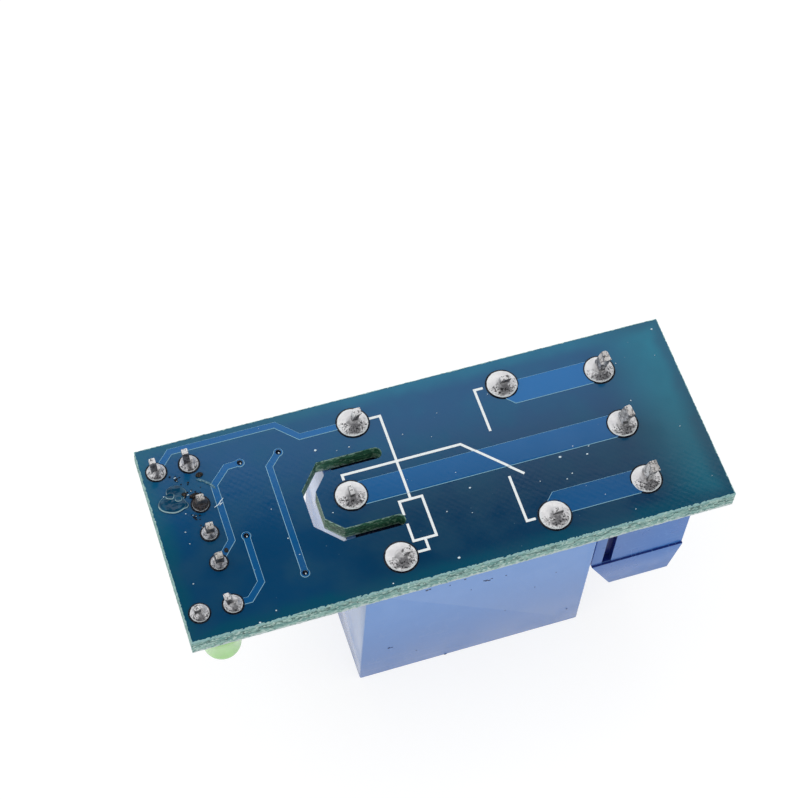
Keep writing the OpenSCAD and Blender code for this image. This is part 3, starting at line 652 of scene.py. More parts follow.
@dataclass(frozen=True)
class SolderMask(Finish):
    """Glossy lacquer over laminate and copper, with brighter raised tracks, painted light, a painted reflection and
    painted highlights.
    """

    toward_left: Colour = srgb(3, 65, 106)
    rim: Colour = srgb(4, 76, 102)
    right_end: Colour = srgb(3, 98, 121)
    track: Colour = srgb(10, 86, 141)
    # The line colour is a painted highlight.
    line: Colour = srgb(158, 212, 236)
    wall: Colour = srgb(60, 120, 110)
    speck: Colour = srgb(120, 150, 165)
    track_lift: float = 0.6
    half_length: float = 21.35
    half_width: float = 8.25
    step: float = 0.05
    weave: float = 11.6

    def dress(self, recipe: Recipe) -> None:
        """Colours the lacquer by what lies under it, adds painted light, a painted reflection and painted highlights,
        and gives it its fine waves.

        Args:
            recipe: The material's tree.
        """
        x, y, z = recipe.split(recipe.place())
        track = recipe.math("MAXIMUM", recipe.fade(z, BOARD_TOP + 0.004, BOARD_TOP + self.step),
                            recipe.fade(z, BOARD_FOOT - 0.004, BOARD_FOOT - self.step))
        shoulder = recipe.product(track, recipe.math("SUBTRACT", 1.0, track))
        inset = [recipe.math("SUBTRACT", half, recipe.math("ABSOLUTE", along))
                 for half, along in ((self.half_length, x), (self.half_width, y))]
        fine, patches = recipe.effect(Effect.GRAIN, size=0.5)
        wander = recipe.math("ADD", recipe.math("MINIMUM", *inset), recipe.fade(patches, 0.3, 0.7, -0.3, 0.3))
        colour = recipe.tint(self.colour, self.toward_left, x, -4.0, -13.0)
        # Teal towards the right end and the rim: partly the laminate showing through near the edges, partly painted
        # reflection.
        colour = recipe.tint(colour, self.right_end, x, 14.5, 20.5)
        colour = recipe.tint(colour, self.rim, wander, 1.5, 0.1)
        colour = recipe.tint(colour, self.rim, patches, 0.35, 0.75, 0.35)
        # Painted light: brighter towards the far side and the middle of the board, on the tracks too.
        painted_light = recipe.product(recipe.fade(y, -3.5, 6.5), recipe.fade(x, -12.0, -2.0, 0.6, 1.1),
                              recipe.fade(x, 13.0, 20.0, 1.0, 0.5))
        laid = recipe.brighten(self.track, recipe.product(painted_light, self.track_lift))
        colour = recipe.mix(track, recipe.brighten(colour, painted_light), laid)
        # Painted highlight along the sloped edges of the tracks.
        colour = recipe.tint(colour, self.line, shoulder, 0.005, 0.12)
        specks = recipe.effect(Effect.SPECKS, spacing=0.7, share=0.35, size=0.09)[0]
        colour = recipe.mix(recipe.product(specks, 0.35), colour, self.speck)
        colour = recipe.tint(colour, self.wall, recipe.math("ABSOLUTE", recipe.facing()[2]), 0.5, 0.2)
        waves = [recipe.math("SINE", recipe.product(along, self.weave)) for along in (x, y)]
        height = recipe.math("ADD", recipe.product(*waves, 0.12), fine)
        recipe.surface(base_color=colour, roughness=self.gloss(recipe, patches, 0.03, 0.04),
                       normal=recipe.bump(height, 0.006, 0.5))


@dataclass(frozen=True)
class Laminate(Finish):
    """Sawn or routed glass laminate, fibrous and speckled."""

    pale: Colour = srgb(158, 190, 176)
    fibre: Colour = srgb(214, 232, 220)
    dark: Colour = srgb(30, 66, 60)
    top_line: Colour = srgb(178, 212, 208)
    foot_line: Colour = srgb(214, 228, 226)
    crack_depth: float = 0.62
    lines: float = 1.0

    def dress(self, recipe: Recipe) -> None:
        """Draws the layers of glass cloth, cracks and the lines along both rims.

        Args:
            recipe: The material's tree.
        """
        place = recipe.place()
        z = recipe.split(place)[2]
        layers = recipe.node("Mapping", {"Vector": place, "Scale": (0.6, 0.6, 3.4)}).outputs[0]
        cloth = recipe.noise(layers, 1.7, 4.0)
        grit = recipe.noise(place, 3.6)
        colour = recipe.tint(self.colour, self.pale, cloth, 0.4, 0.58)
        colour = recipe.tint(colour, self.fibre, grit, 0.52, 0.62, 0.85)
        bend = recipe.fade(recipe.noise(place, 1.1, 4.0), 0.3, 0.7, -0.4, 0.4)
        apart = recipe.gap(recipe.math("ADD", z, bend), BOARD_TOP - self.crack_depth)
        crack = recipe.math("MAXIMUM", recipe.fade(apart, 0.13, 0.05),
                            recipe.fade(recipe.noise(layers, 2.6), 0.56, 0.61, 0.0, 0.8))
        colour = recipe.mix(recipe.product(crack, 0.8 * self.lines), colour, self.dark)
        ragged = recipe.math("ADD", z, recipe.fade(recipe.noise(place, 3.0, 4.0), 0.35, 0.65, -0.14, 0.14))
        colour = recipe.tint(colour, self.top_line, ragged, BOARD_TOP - 0.16, BOARD_TOP - 0.06, self.lines)
        colour = recipe.tint(colour, self.foot_line, ragged, BOARD_FOOT + 0.26, BOARD_FOOT + 0.1,
                             0.85 * self.lines)
        recipe.surface(base_color=colour, roughness=self.gloss(recipe, grit, 0.1, 0.15),
                       normal=recipe.bump(cloth, 0.08, 0.9))


@dataclass(frozen=True)
class LegendInk(Finish):
    """Printed white ink, a little uneven and thin in places."""

    thin: Colour = srgb(168, 190, 205)

    def dress(self, recipe: Recipe) -> None:
        """Thins the ink in spots."""
        fine, _ = recipe.effect(Effect.GRAIN, size=0.09)
        recipe.surface(base_color=recipe.tint(self.colour, self.thin, fine, 0.56, 0.72, 0.75),
                       normal=recipe.bump(fine, 0.01, 0.5))


@dataclass(frozen=True)
class Moulding(Finish):
    """Moulded plastic with a fine skin, scuffs, dust and paler worn edges."""

    worn: Colour = srgb(160, 175, 205)
    dust: Colour = srgb(210, 215, 220)
    skin: float = 0.12
    wear: float = 0.35
    scuffs: float = 0.3
    specks: float = 0.1
    depth: float = 0.012

    def dress(self, recipe: Recipe) -> None:
        """Adds the moulded skin and its marks.

        Args:
            recipe: The material's tree.
        """
        fine, patches = recipe.effect(Effect.GRAIN, size=self.skin)
        edges = recipe.effect(Effect.WEAR, radius=0.00012)[0]
        scratches = recipe.effect(Effect.SCRATCHES, spacing=2.2, share=0.5)[0]
        dust = recipe.effect(Effect.SPECKS, spacing=1.6, share=self.specks, size=0.09)[0]
        colour = self.tone(recipe, recipe.tint(self.colour, self.worn, patches, 0.3, 0.72, 0.14))
        colour = recipe.mix(recipe.product(edges, self.wear), colour, self.worn)
        lines = recipe.product(scratches, self.scuffs)
        colour = recipe.mix(lines, colour, self.worn)
        colour = recipe.mix(recipe.product(dust, 0.6), colour, self.dust)
        rough = recipe.math("ADD", self.gloss(recipe, patches, 0.06, 0.08), recipe.product(lines, 0.2))
        recipe.surface(base_color=colour, roughness=rough, normal=recipe.bump(fine, self.depth, 0.5))

    def tone(self, recipe: Recipe, colour: Feed) -> Feed:
        """Shifts the colour from place to place; a plain moulding stays as it is."""
        return colour


@dataclass(frozen=True)
class CaseMoulding(Moulding):
    """The relay case, with painted light: paler towards the board than at its foot, and a painted reflection on its
    left end.
    """

    # The foot colour is painted shade and the end colour a painted reflection.
    foot: Colour = srgb(72, 128, 204)
    end: Colour = srgb(214, 228, 248)
    end_reflection: float = 0.5
    painted_light: float = 0.36
    reach: float = 16.0

    def tone(self, recipe: Recipe, colour: Feed) -> Feed:
        """Paints light that brightens the colour with height, and a painted reflection on the left end face.

        Args:
            recipe: The material's tree.
            colour: The colour so far.

        Returns:
            The new colour.
        """
        # Painted light: darker at the foot, brighter towards the board.
        level = recipe.fade(recipe.split(recipe.place())[2], 0.0, self.reach)
        colour = recipe.mix(level, self.foot, recipe.brighten(colour, self.painted_light))
        # Painted reflection on the face at the left end.
        end = recipe.product(recipe.fade(recipe.facing()[0], -0.5, -0.9, 0.0, self.end_reflection), level)
        return recipe.mix(end, colour, self.end)


@dataclass(frozen=True)
class GroovedMoulding(Moulding):
    """The terminal housing, with painted shade: deep blue where its end wall is grooved and along its ledge."""

    # The deep colour is painted shade.
    deep: Colour = srgb(0, 6, 112)
    pale: Colour = srgb(116, 142, 200)
    paler_to: float = 17.5
    wall: float = -7.42
    groove_x: float = 12.175

    def tone(self, recipe: Recipe, colour: Feed) -> Feed:
        """Paints shade on the floors of the grooves in the end wall and on the upward ledge in front of it.

        Args:
            recipe: The material's tree.
            colour: The colour so far.

        Returns:
            The new colour.
        """
        x, y, _ = recipe.split(recipe.place())
        # Painted shade in the grooves and on the ledge.
        groove = recipe.product(recipe.fade(recipe.gap(x, self.groove_x), 0.66, 0.6, 0.0, 0.92),
                                recipe.fade(y, self.wall + 0.02, self.wall + 0.1),
                                recipe.fade(y, self.wall + 1.0, self.wall + 0.8))
        ledge = recipe.product(recipe.fade(recipe.facing()[2], 0.4, 0.8, 0.0, 0.85),
                               recipe.fade(y, self.wall + 0.04, self.wall - 0.02))
        colour = recipe.tint(colour, self.pale, x, self.paler_to, self.paler_to - 5.5, 0.5)
        return recipe.mix(recipe.math("MAXIMUM", groove, ledge), colour, self.deep)


@dataclass(frozen=True)
class Metal(Finish):
    """Plated or tinned metal, with dull patches and fine scratches."""

    dull: Colour = srgb(110, 110, 108)
    metallic: float = 1.0
    grain: float = 0.15
    marks: float = 0.4
    depth: float = 0.02
    shaded: float = 0.0
    patchy: float = 0.82
    shade: Colour = srgb(44, 42, 46)

    def dress(self, recipe: Recipe) -> None:
        """Makes it metal, uneven in tone and gloss.

        Args:
            recipe: The material's tree.
        """
        fine, patches = recipe.effect(Effect.GRAIN, size=self.grain)
        scratches = recipe.effect(Effect.SCRATCHES, spacing=0.7, share=0.6)[0]
        colour = recipe.tint(self.colour, self.dull, patches, 0.35, 0.66, 0.7)
        colour = recipe.mix(recipe.product(scratches, self.marks), colour, self.dull)
        colour, height = self.mark(recipe, colour, fine)
        recipe.surface(base_color=colour, metallic=self.metallic, normal=recipe.bump(height, self.depth, 0.6),
                       roughness=self.gloss(recipe, fine, 0.08, 0.12))

    def mark(self, recipe: Recipe, colour: Feed, height: Feed) -> tuple[Feed, Feed]:
        """Paints shade on the upright sides of what stands above the board, most where they face towards -y, and thin
        lines of painted shade as in creases.

        Args:
            recipe: The material's tree.
            colour: The colour so far.
            height: The height so far.

        Returns:
            The new colour and height.
        """
        if not self.shaded:
            return colour, height
        place = recipe.place()
        _, along, up = recipe.facing()
        above = recipe.fade(recipe.split(place)[2], BOARD_TOP - 0.1, BOARD_TOP + 0.1, 0.0, self.shaded)
        streaks = recipe.fade(recipe.noise(place, 3.2, 2.0), 0.42, 0.58, 1.0, self.patchy)
        # Painted shade on the upright sides, most where they face towards -y.
        burnt = recipe.product(recipe.fade(up, 0.6, 0.3), recipe.fade(along, 0.25, -0.25, 0.35, 1.0), above, streaks)
        # Painted shade lines, as in creases of the cut metal.
        crease = recipe.product(recipe.fade(recipe.gap(recipe.noise(place, 2.4), 0.5), 0.03, 0.012), above)
        return recipe.mix(recipe.math("MAXIMUM", burnt, crease), colour, self.shade), height


@dataclass(frozen=True)
class Tin(Metal):
    """Solder: pitted on its near slopes, with painted shadow below the lead and at its neck, and a painted highlight
    round its foot.
    """

    pit: Colour = srgb(36, 36, 40)
    # The wedge colour is painted shadow and the rim colour a painted highlight.
    wedge: Colour = srgb(78, 78, 84)
    rim: Colour = srgb(244, 250, 252)
    pitting: float = 0.95
    pit_top: float = 0.5
    collar: float = 0.6

    def mark(self, recipe: Recipe, colour: Feed, height: Feed) -> tuple[Feed, Feed]:
        """Adds the pits, the painted shadow wedge below the lead, painted shade at the neck and a painted highlight
        round the foot.

        Args:
            recipe: The material's tree.
            colour: The colour so far.
            height: The height so far.

        Returns:
            The new colour and height.
        """
        place = recipe.place()
        across, along, _ = recipe.facing()
        level = recipe.math("SUBTRACT", recipe.split(place)[2], BOARD_TOP)
        wander = recipe.fade(recipe.noise(place, 2.2, 2.0), 0.3, 0.7, -0.15, 0.15)
        side = recipe.math("ADD", recipe.math("ABSOLUTE", across), wander)
        # Painted shadow below the lead and painted shade at the neck.
        wedge = recipe.product(recipe.fade(along, -0.12, -0.4, 0.0, 0.8), recipe.fade(side, 0.5, 0.2))
        collar = recipe.product(recipe.fade(level, 0.36, 0.48, 0.0, self.collar),
                                recipe.fade(along, 0.25, -0.25, 0.3, 1.0))
        mottle = recipe.product(recipe.fade(recipe.noise(place, 5.0), 0.48, 0.58, 0.0, 0.4),
                                recipe.fade(along, 0.1, -0.1))
        for share in (recipe.math("MAXIMUM", wedge, collar), mottle):
            colour = recipe.mix(share, colour, self.wedge)
        # Painted highlight round the foot of the joint.
        colour = recipe.tint(colour, self.rim, level, 0.16, 0.09)
        pits = recipe.product(recipe.fade(recipe.noise(place, 7.5, 2.0), 0.54, 0.59),
                              recipe.fade(along, 0.04, -0.12, 0.0, self.pitting), recipe.fade(level, 0.1, 0.16),
                              recipe.fade(level, self.pit_top, self.pit_top - 0.15))
        return recipe.mix(pits, colour, self.pit), recipe.math("SUBTRACT", height, recipe.product(pits, 1.5))


@dataclass(frozen=True)
class Threaded(Metal):
    """Plated steel whose shank carries a screw thread."""

    pitch: float = 0.5
    shank_foot: float = 7.3

    def dress(self, recipe: Recipe) -> None:
        """Adds the thread to the metal.

        Args:
            recipe: The material's tree.
        """
        super().dress(recipe)
        z = recipe.split(recipe.place())[2]
        wave = recipe.math("SINE", recipe.product(z, 2 * math.pi / self.pitch))
        shank = recipe.fade(z, self.shank_foot - 0.1, self.shank_foot + 0.1)
        recipe.surface(normal=recipe.bump(recipe.product(wave, shank), 0.12))


@dataclass(frozen=True)
class Winding(Finish):
    """Enamelled wire wound round a coil in close turns."""

    shade: Colour = srgb(70, 22, 8)
    pitch: float = 0.11

    def dress(self, recipe: Recipe) -> None:
        """Lays the turns one beside the other.

        Args:
            recipe: The material's tree.
        """
        place = recipe.place()
        drift = recipe.fade(recipe.noise(place, 0.8, 2.0), 0.3, 0.7, -0.3, 0.3)
        z = recipe.math("ADD", recipe.split(place)[2], recipe.product(drift, self.pitch))
        turns = recipe.math("ABSOLUTE", recipe.math("SINE", recipe.product(z, math.pi / self.pitch)))
        recipe.surface(base_color=recipe.tint(self.shade, self.colour, turns, 0.0, 0.6), metallic=0.8,
                       normal=recipe.bump(turns, 0.05))


@dataclass(frozen=True)
class Clear(Finish):
    """Tinted see-through resin or glass."""

    clear: float = 0.6
    deep: Colour = srgb(90, 170, 60)
    bubbles: float = 0.3

    def dress(self, recipe: Recipe) -> None:
        """Lets light through, with a few streaks in the tint.

        Args:
            recipe: The material's tree.
        """
        recipe.shader.inputs["IOR"].default_value = 1.5
        fine, patches = recipe.effect(Effect.GRAIN, size=0.4)
        rough = self.gloss(recipe, fine, 0.3 * self.roughness, 0.3 * self.roughness)
        colour = recipe.tint(self.colour, self.deep, patches, 0.3, 0.7, self.bubbles)
        recipe.surface(transmission_weight=self.clear, base_color=colour, roughness=rough,
                       normal=recipe.bump(fine, 0.01, 0.4))


@dataclass(frozen=True)
class Puddle(Finish):
    """Clear flux that has set over the lacquer: glossy, with a painted highlight along its rims."""

    rim: Colour = srgb(176, 210, 214)
    swirl: Colour = srgb(20, 88, 120)

    def dress(self, recipe: Recipe) -> None:
        """Draws the painted highlight on the rims and the swirls by height.

        Args:
            recipe: The material's tree.
        """
        place = recipe.place()
        wander = recipe.fade(recipe.noise(place, 1.6, 2.0), 0.3, 0.7, -0.03, 0.03)
        level = recipe.math("ADD", recipe.split(place)[2], wander)
        swirls = recipe.fade(recipe.noise(place, 1.3), 0.46, 0.6, 0.0, 0.6)
        _, along, upward = recipe.facing()
        # Painted highlight on the steep rims, brightest on the near side.
        rim = recipe.product(recipe.fade(upward, 0.93, 0.78), recipe.fade(along, 0.25, -0.2, 0.25, 0.9),
                             recipe.fade(level, BOARD_TOP + 0.01, BOARD_TOP + 0.05))
        colour = recipe.mix(rim, recipe.mix(swirls, self.colour, self.swirl), self.rim)
        recipe.surface(base_color=colour, normal=recipe.bump(recipe.noise(place, 2.0, 2.0), 0.05, 0.6),
                       roughness=recipe.fade(swirls, 0.0, 0.6, self.roughness, self.roughness + 0.1))


@dataclass(frozen=True)
class Crust(Finish):
    """Burnt flux and dirt: dark, lumpy and partly glossy."""

    shine: Colour = srgb(80, 70, 60)
    depth: float = 0.08

    def dress(self, recipe: Recipe) -> None:
        """Mottles the crust and roughens it.

        Args:
            recipe: The material's tree.
        """
        fine, _ = recipe.effect(Effect.GRAIN, size=0.14)
        rough = recipe.fade(fine, 0.35, 0.65, self.roughness - 0.25, self.roughness + 0.2)
        recipe.surface(base_color=recipe.tint(self.colour, self.shine, fine, 0.5, 0.72), roughness=rough,
                       normal=recipe.bump(fine, self.depth))


class Palette:
    """Every finish of the module, by its own name."""

    MASK = SolderMask("blue_solder_mask", srgb(2, 57, 92), 0.12)
    SAWN = Laminate("sawn_laminate", srgb(98, 154, 150), 0.6, pale=srgb(158, 200, 190), fibre=srgb(206, 230, 222),
                    dark=srgb(48, 90, 86), top_line=srgb(146, 190, 190))
    # The same laminate, darker: painted shade on the routed walls of the slots and holes.
    ROUTED = Laminate("routed_laminate", srgb(44, 108, 84), 0.5, pale=srgb(84, 142, 112), fibre=srgb(170, 206, 182),
                      top_line=srgb(200, 232, 224), lines=0.8)
    INK = LegendInk("legend_ink", srgb(248, 254, 255), 0.5)
    COPPER = Metal("bare_copper", srgb(205, 150, 105), 0.3, dull=srgb(170, 150, 130))
    PAD = Metal("tinned_pad", srgb(222, 222, 224), 0.3, dull=srgb(160, 160, 164), metallic=0.5)
    RELAY = CaseMoulding("relay_moulding", srgb(104, 145, 205), 0.16, worn=srgb(150, 178, 222), skin=0.4, depth=0.006,
                         scuffs=0.12, specks=0.04)
    INKY = Crust("dried_smudge", srgb(30, 58, 108), 0.4, shine=srgb(60, 92, 140), depth=0.03)
    BASE = Moulding("relay_base_moulding", srgb(28, 30, 36), 0.5, worn=srgb(70, 74, 84))
    TERMINAL = GroovedMoulding("terminal_moulding", srgb(62, 122, 204), 0.3, worn=srgb(120, 165, 225), skin=0.3,
                               depth=0.008)
    HEADER = Moulding("header_moulding", srgb(24, 24, 26), 0.45, worn=srgb(70, 70, 74))
    BOBBIN = Moulding("bobbin_nylon", srgb(226, 222, 205), 0.5, worn=srgb(240, 238, 228))
    EPOXY = Crust("poured_resin", srgb(28, 34, 58), 0.3, shine=srgb(60, 68, 100), depth=0.03)
    WIRE = Winding("enamelled_wire", srgb(190, 92, 40), 0.3)
    IRON = Metal("plated_iron", srgb(200, 200, 198), 0.34, dull=srgb(150, 150, 146), grain=0.25)
    SPRING = Metal("bronze_strip", srgb(214, 168, 100), 0.28, dull=srgb(168, 124, 70))
    CONTACT = Metal("silver_contact", srgb(225, 225, 222), 0.24, dull=srgb(180, 178, 170))
    CLAMP = Metal("nickel_plate", srgb(206, 204, 198), 0.26, dull=srgb(150, 148, 140))
    BLADE = Metal("tinned_blade", srgb(250, 249, 248), 0.34, dull=srgb(196, 192, 190), metallic=0.3, grain=0.16,
                  shaded=0.85, patchy=0.15)
    SCREW = Threaded("zinc_screw", srgb(212, 212, 212), 0.28, dull=srgb(160, 160, 162), grain=0.3)
    # Painted shade: the hole plating and the via plugs take the dark navy of the shade inside a hole.
    PLATING = Metal("dark_plating", srgb(14, 34, 66), 0.35, dull=srgb(8, 18, 40), metallic=0.1)
    HEADER_PIN = Metal("header_pin_metal", srgb(242, 240, 238), 0.3, dull=srgb(214, 210, 204), metallic=0.6,
                       grain=0.3, shaded=0.9, marks=0.2, depth=0.006)
    LEAD = Metal("tinned_lead", srgb(250, 251, 252), 0.34, dull=srgb(226, 224, 226), metallic=0.2, grain=0.2,
                 shaded=0.95)
    SOLDER = Tin("pitted_solder", srgb(252, 251, 252), 0.36, dull=srgb(228, 227, 230), metallic=0.12, grain=0.12)
    BLADE_SOLDER = Tin("blade_solder", srgb(252, 251, 252), 0.36, dull=srgb(228, 227, 230), metallic=0.12,
                       grain=0.12, collar=0.35)
    BRIGHT_SOLDER = Tin("bright_solder", srgb(250, 249, 251), 0.26, dull=srgb(206, 205, 208), metallic=0.25,
                        grain=0.12, pitting=0.8, collar=0.3)
    BURNT_SOLDER = Tin("burnt_solder", srgb(124, 112, 104), 0.3, dull=srgb(40, 34, 32), metallic=0.5, grain=0.1)
    CHIP = Moulding("chip_body", srgb(26, 26, 28), 0.4, worn=srgb(80, 80, 84), skin=0.06)
    GREEN_LENS = Clear("green_lens_resin", srgb(190, 250, 160), 0.16, clear=0.2, deep=srgb(160, 238, 124))
    RED_LENS = Clear("red_lens_resin", srgb(226, 60, 48), 0.2, clear=0.45, deep=srgb(170, 20, 20))
    GLASS = Clear("diode_envelope", srgb(226, 130, 70), 0.08, clear=0.6, deep=srgb(150, 60, 25))
    FLUX = Puddle("flux_resin", srgb(6, 62, 92), 0.08)
    BURNT = Crust("burnt_flux", srgb(20, 15, 12), 0.4)
    RESIDUE = Crust("pale_residue", srgb(70, 118, 142), 0.35, shine=srgb(130, 170, 180), depth=0.04)
    JOINT_RING = Crust("flux_ring", srgb(3, 12, 30), 0.35, shine=srgb(8, 26, 46), depth=0.02)
    # Real dust and hairs, and pale grains as painted glints.
    DUST = Crust("pale_dust", srgb(222, 242, 252), 0.7, shine=srgb(244, 252, 255), depth=0.02)


def fit(piece: Piece, finish: Finish, slot: str, *nodes: str, body: str = "module") -> Piece:
    """Gives a finished piece its finish and its body, and hides the nodes that it stands for.

    Args:
        piece: The finished piece.
        finish: Its finish.
        slot: The record's slot; it is not used.
        nodes: The nodes of the frame that it stands for.
        body: The body that it rides on.

    Returns:
        The same piece.
    """
    piece.data.materials.clear()
    piece.data.materials.append(finish.make())
    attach(piece, body)
    if nodes:
        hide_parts(*nodes)
    LOG.info("%s: %d faces, %s", piece.name, len(piece.data.polygons), finish.name)
    return piece


def coat(finish: Finish, *nodes: str) -> None:
    """Gives nodes of the frame, whose shape is right as it is, a finish.

    Args:
        finish: The finish.
        nodes: The nodes' names.
    """
    for node in nodes:
        for slot in frame["nodes"][node].material_slots:
            slot.material = finish.make()
        LOG.info("%s keeps its shape, %s", node, finish.name)


def rounded(node: str, name: str, width: float, finish: Finish, slot: str, segments: int = 2,
            body: str = "module") -> Piece:
    """Makes a piece from a node with its sharp edges rounded.

    Args:
        node: The node's name.
        name: The piece's name.
        width: The width of the rounding in millimetres.
        finish: The piece's finish.
        slot: The record's slot.
        segments: How many facets the rounding has.
        body: The body that the piece rides on.

    Returns:
        The finished piece.
    """
    piece = Bench.round_off(Bench.from_node(node, name), width, segments)
    return fit(piece, finish, slot, node, body=body)


# ---------------------------------------------------------------- the studio


def hang(name: str, data: bpy.types.ID, place: Vector, aim: Vector, turn: Quaternion = Quaternion()) -> Piece:
    """Puts a camera or lamp in the scene, pointed at a place.

    Args:
        name: Its name.
        data: The camera or the lamp.
        place: Where it hangs.
        aim: What it points at.
        turn: How it is rolled about its own sight.

    Returns:
        The object that holds it.
    """
    held = bpy.data.objects.new(name, data)
    bpy.context.scene.collection.objects.link(held)
    held.location = place
    held.rotation_mode = "QUATERNION"
    held.rotation_quaternion = (aim - place).to_track_quat("-Z", "Y") @ turn
    return held


@dataclass(frozen=True)
class Viewpoint:
    """Where the camera stands, what it looks at, and its lens."""

    place: Point = (-34.34, -73.26, 161.98)
    aim: Point = (-0.56, 6.92, 16.8)
    roll: float = 5.44
    lens: float = 98.48
    sensor: float = 36.0

    def build(self) -> None:
        """Sets up the camera."""
        data = bpy.data.cameras.new("viewpoint")
        data.lens = self.lens
        data.sensor_width = self.sensor
        data.clip_start = 0.01
        turn = Quaternion((0, 0, 1), math.radians(self.roll))
        bpy.context.scene.camera = hang("viewpoint", data, mm(*self.place), mm(*self.aim), turn)


@dataclass(frozen=True)
class Studio:
    """A pale floor, a soft even sky and two soft lamps."""

    floor_size: float = 1.6
    floor_level: float = -0.00002
    sky: float = 0.72
    overhead: float = 0.03
    middle: Point = (0.0, 0.0, 16.0)
    lamps: tuple[tuple[str, Point, float, float, float], ...] = (
        ("back_lamp", (100, 355, 381), 0.42, 0.315, 0.36),
        ("key_lamp", (-310, 175, 366), 0.3, 0.3, 0.3))

    def build(self) -> None:
        """Lays the floor and hangs the lights, given by name, place, width, height and power."""
        bpy.context.scene.view_settings.view_transform = "Standard"
        Bench.clear()
        bpy.ops.mesh.primitive_plane_add(size=self.floor_size, location=(0, 0, self.floor_level))
        floor = Bench.settle("floor")
        with Bench.editing(floor):
            bpy.ops.mesh.subdivide(number_cuts=4)
        floor.data.materials.append(self.floor_finish())
        self.sky_light()
        for name, place, width, height, power in self.lamps:
            data = bpy.data.lights.new(name, "AREA")
            data.shape = "RECTANGLE"
            data.size, data.size_y, data.energy = width, height, power
            hang(name, data, mm(*place), mm(*self.middle))

    @staticmethod
    def floor_finish() -> bpy.types.Material:
        """Builds the floor's material: white to the eye, and it keeps a soft shadow.

        Returns:
            The material.
        """
        material = bpy.data.materials.new("pale_floor")
        material.use_nodes = True
        recipe = Recipe(material.node_tree)
        path = recipe.node("LightPath").outputs
        seen = recipe.math("MAXIMUM", path["Is Camera Ray"], path["Is Glossy Ray"])
        seen = recipe.math("MAXIMUM", seen, path["Is Transmission Ray"])
        pale = recipe.node("BsdfDiffuse", {"Color": (0.88, 0.88, 0.88, 1)}).outputs[0]
        shadow = recipe.node("BsdfDiffuse", {"Color": (0.3, 0.3, 0.3, 1)}).outputs[0]
        glow = recipe.node("Emission", {"Strength": 0.8}).outputs[0]
        white = recipe.node("AddShader", {0: shadow, 1: glow}).outputs[0]
        mixed = recipe.node("MixShader", {0: seen, 1: pale, 2: white}).outputs[0]
        recipe.node("OutputMaterial", {"Surface": mixed})
        return material

    def sky_light(self) -> None:
        """Makes the world: even light, white to the eye, darker overhead in mirrors."""
        world = bpy.data.worlds.new("soft_sky")
        world.use_nodes = True
        bpy.context.scene.world = world
        recipe = Recipe(world.node_tree)
        up = recipe.split(recipe.node("TexCoord").outputs["Generated"])[2]
        mirrored = recipe.fade(up, 0.08, 0.4, 1.0, self.overhead)
        path = recipe.node("LightPath").outputs
        even, dome, white = (recipe.node("Background", {"Color": (1, 1, 1, 1), "Strength": level}).outputs[0]
                             for level in (self.sky, mirrored, 1.0))
        glossy = recipe.node("MixShader", {0: path["Is Glossy Ray"], 1: even, 2: dome}).outputs[0]
        straight = recipe.math("MAXIMUM", path["Is Camera Ray"], path["Is Transmission Ray"])
        mixed = recipe.node("MixShader", {0: straight, 1: glossy, 2: white}).outputs[0]
        recipe.node("OutputWorld", {"Surface": mixed})


# ---------------------------------------------------------------- the board


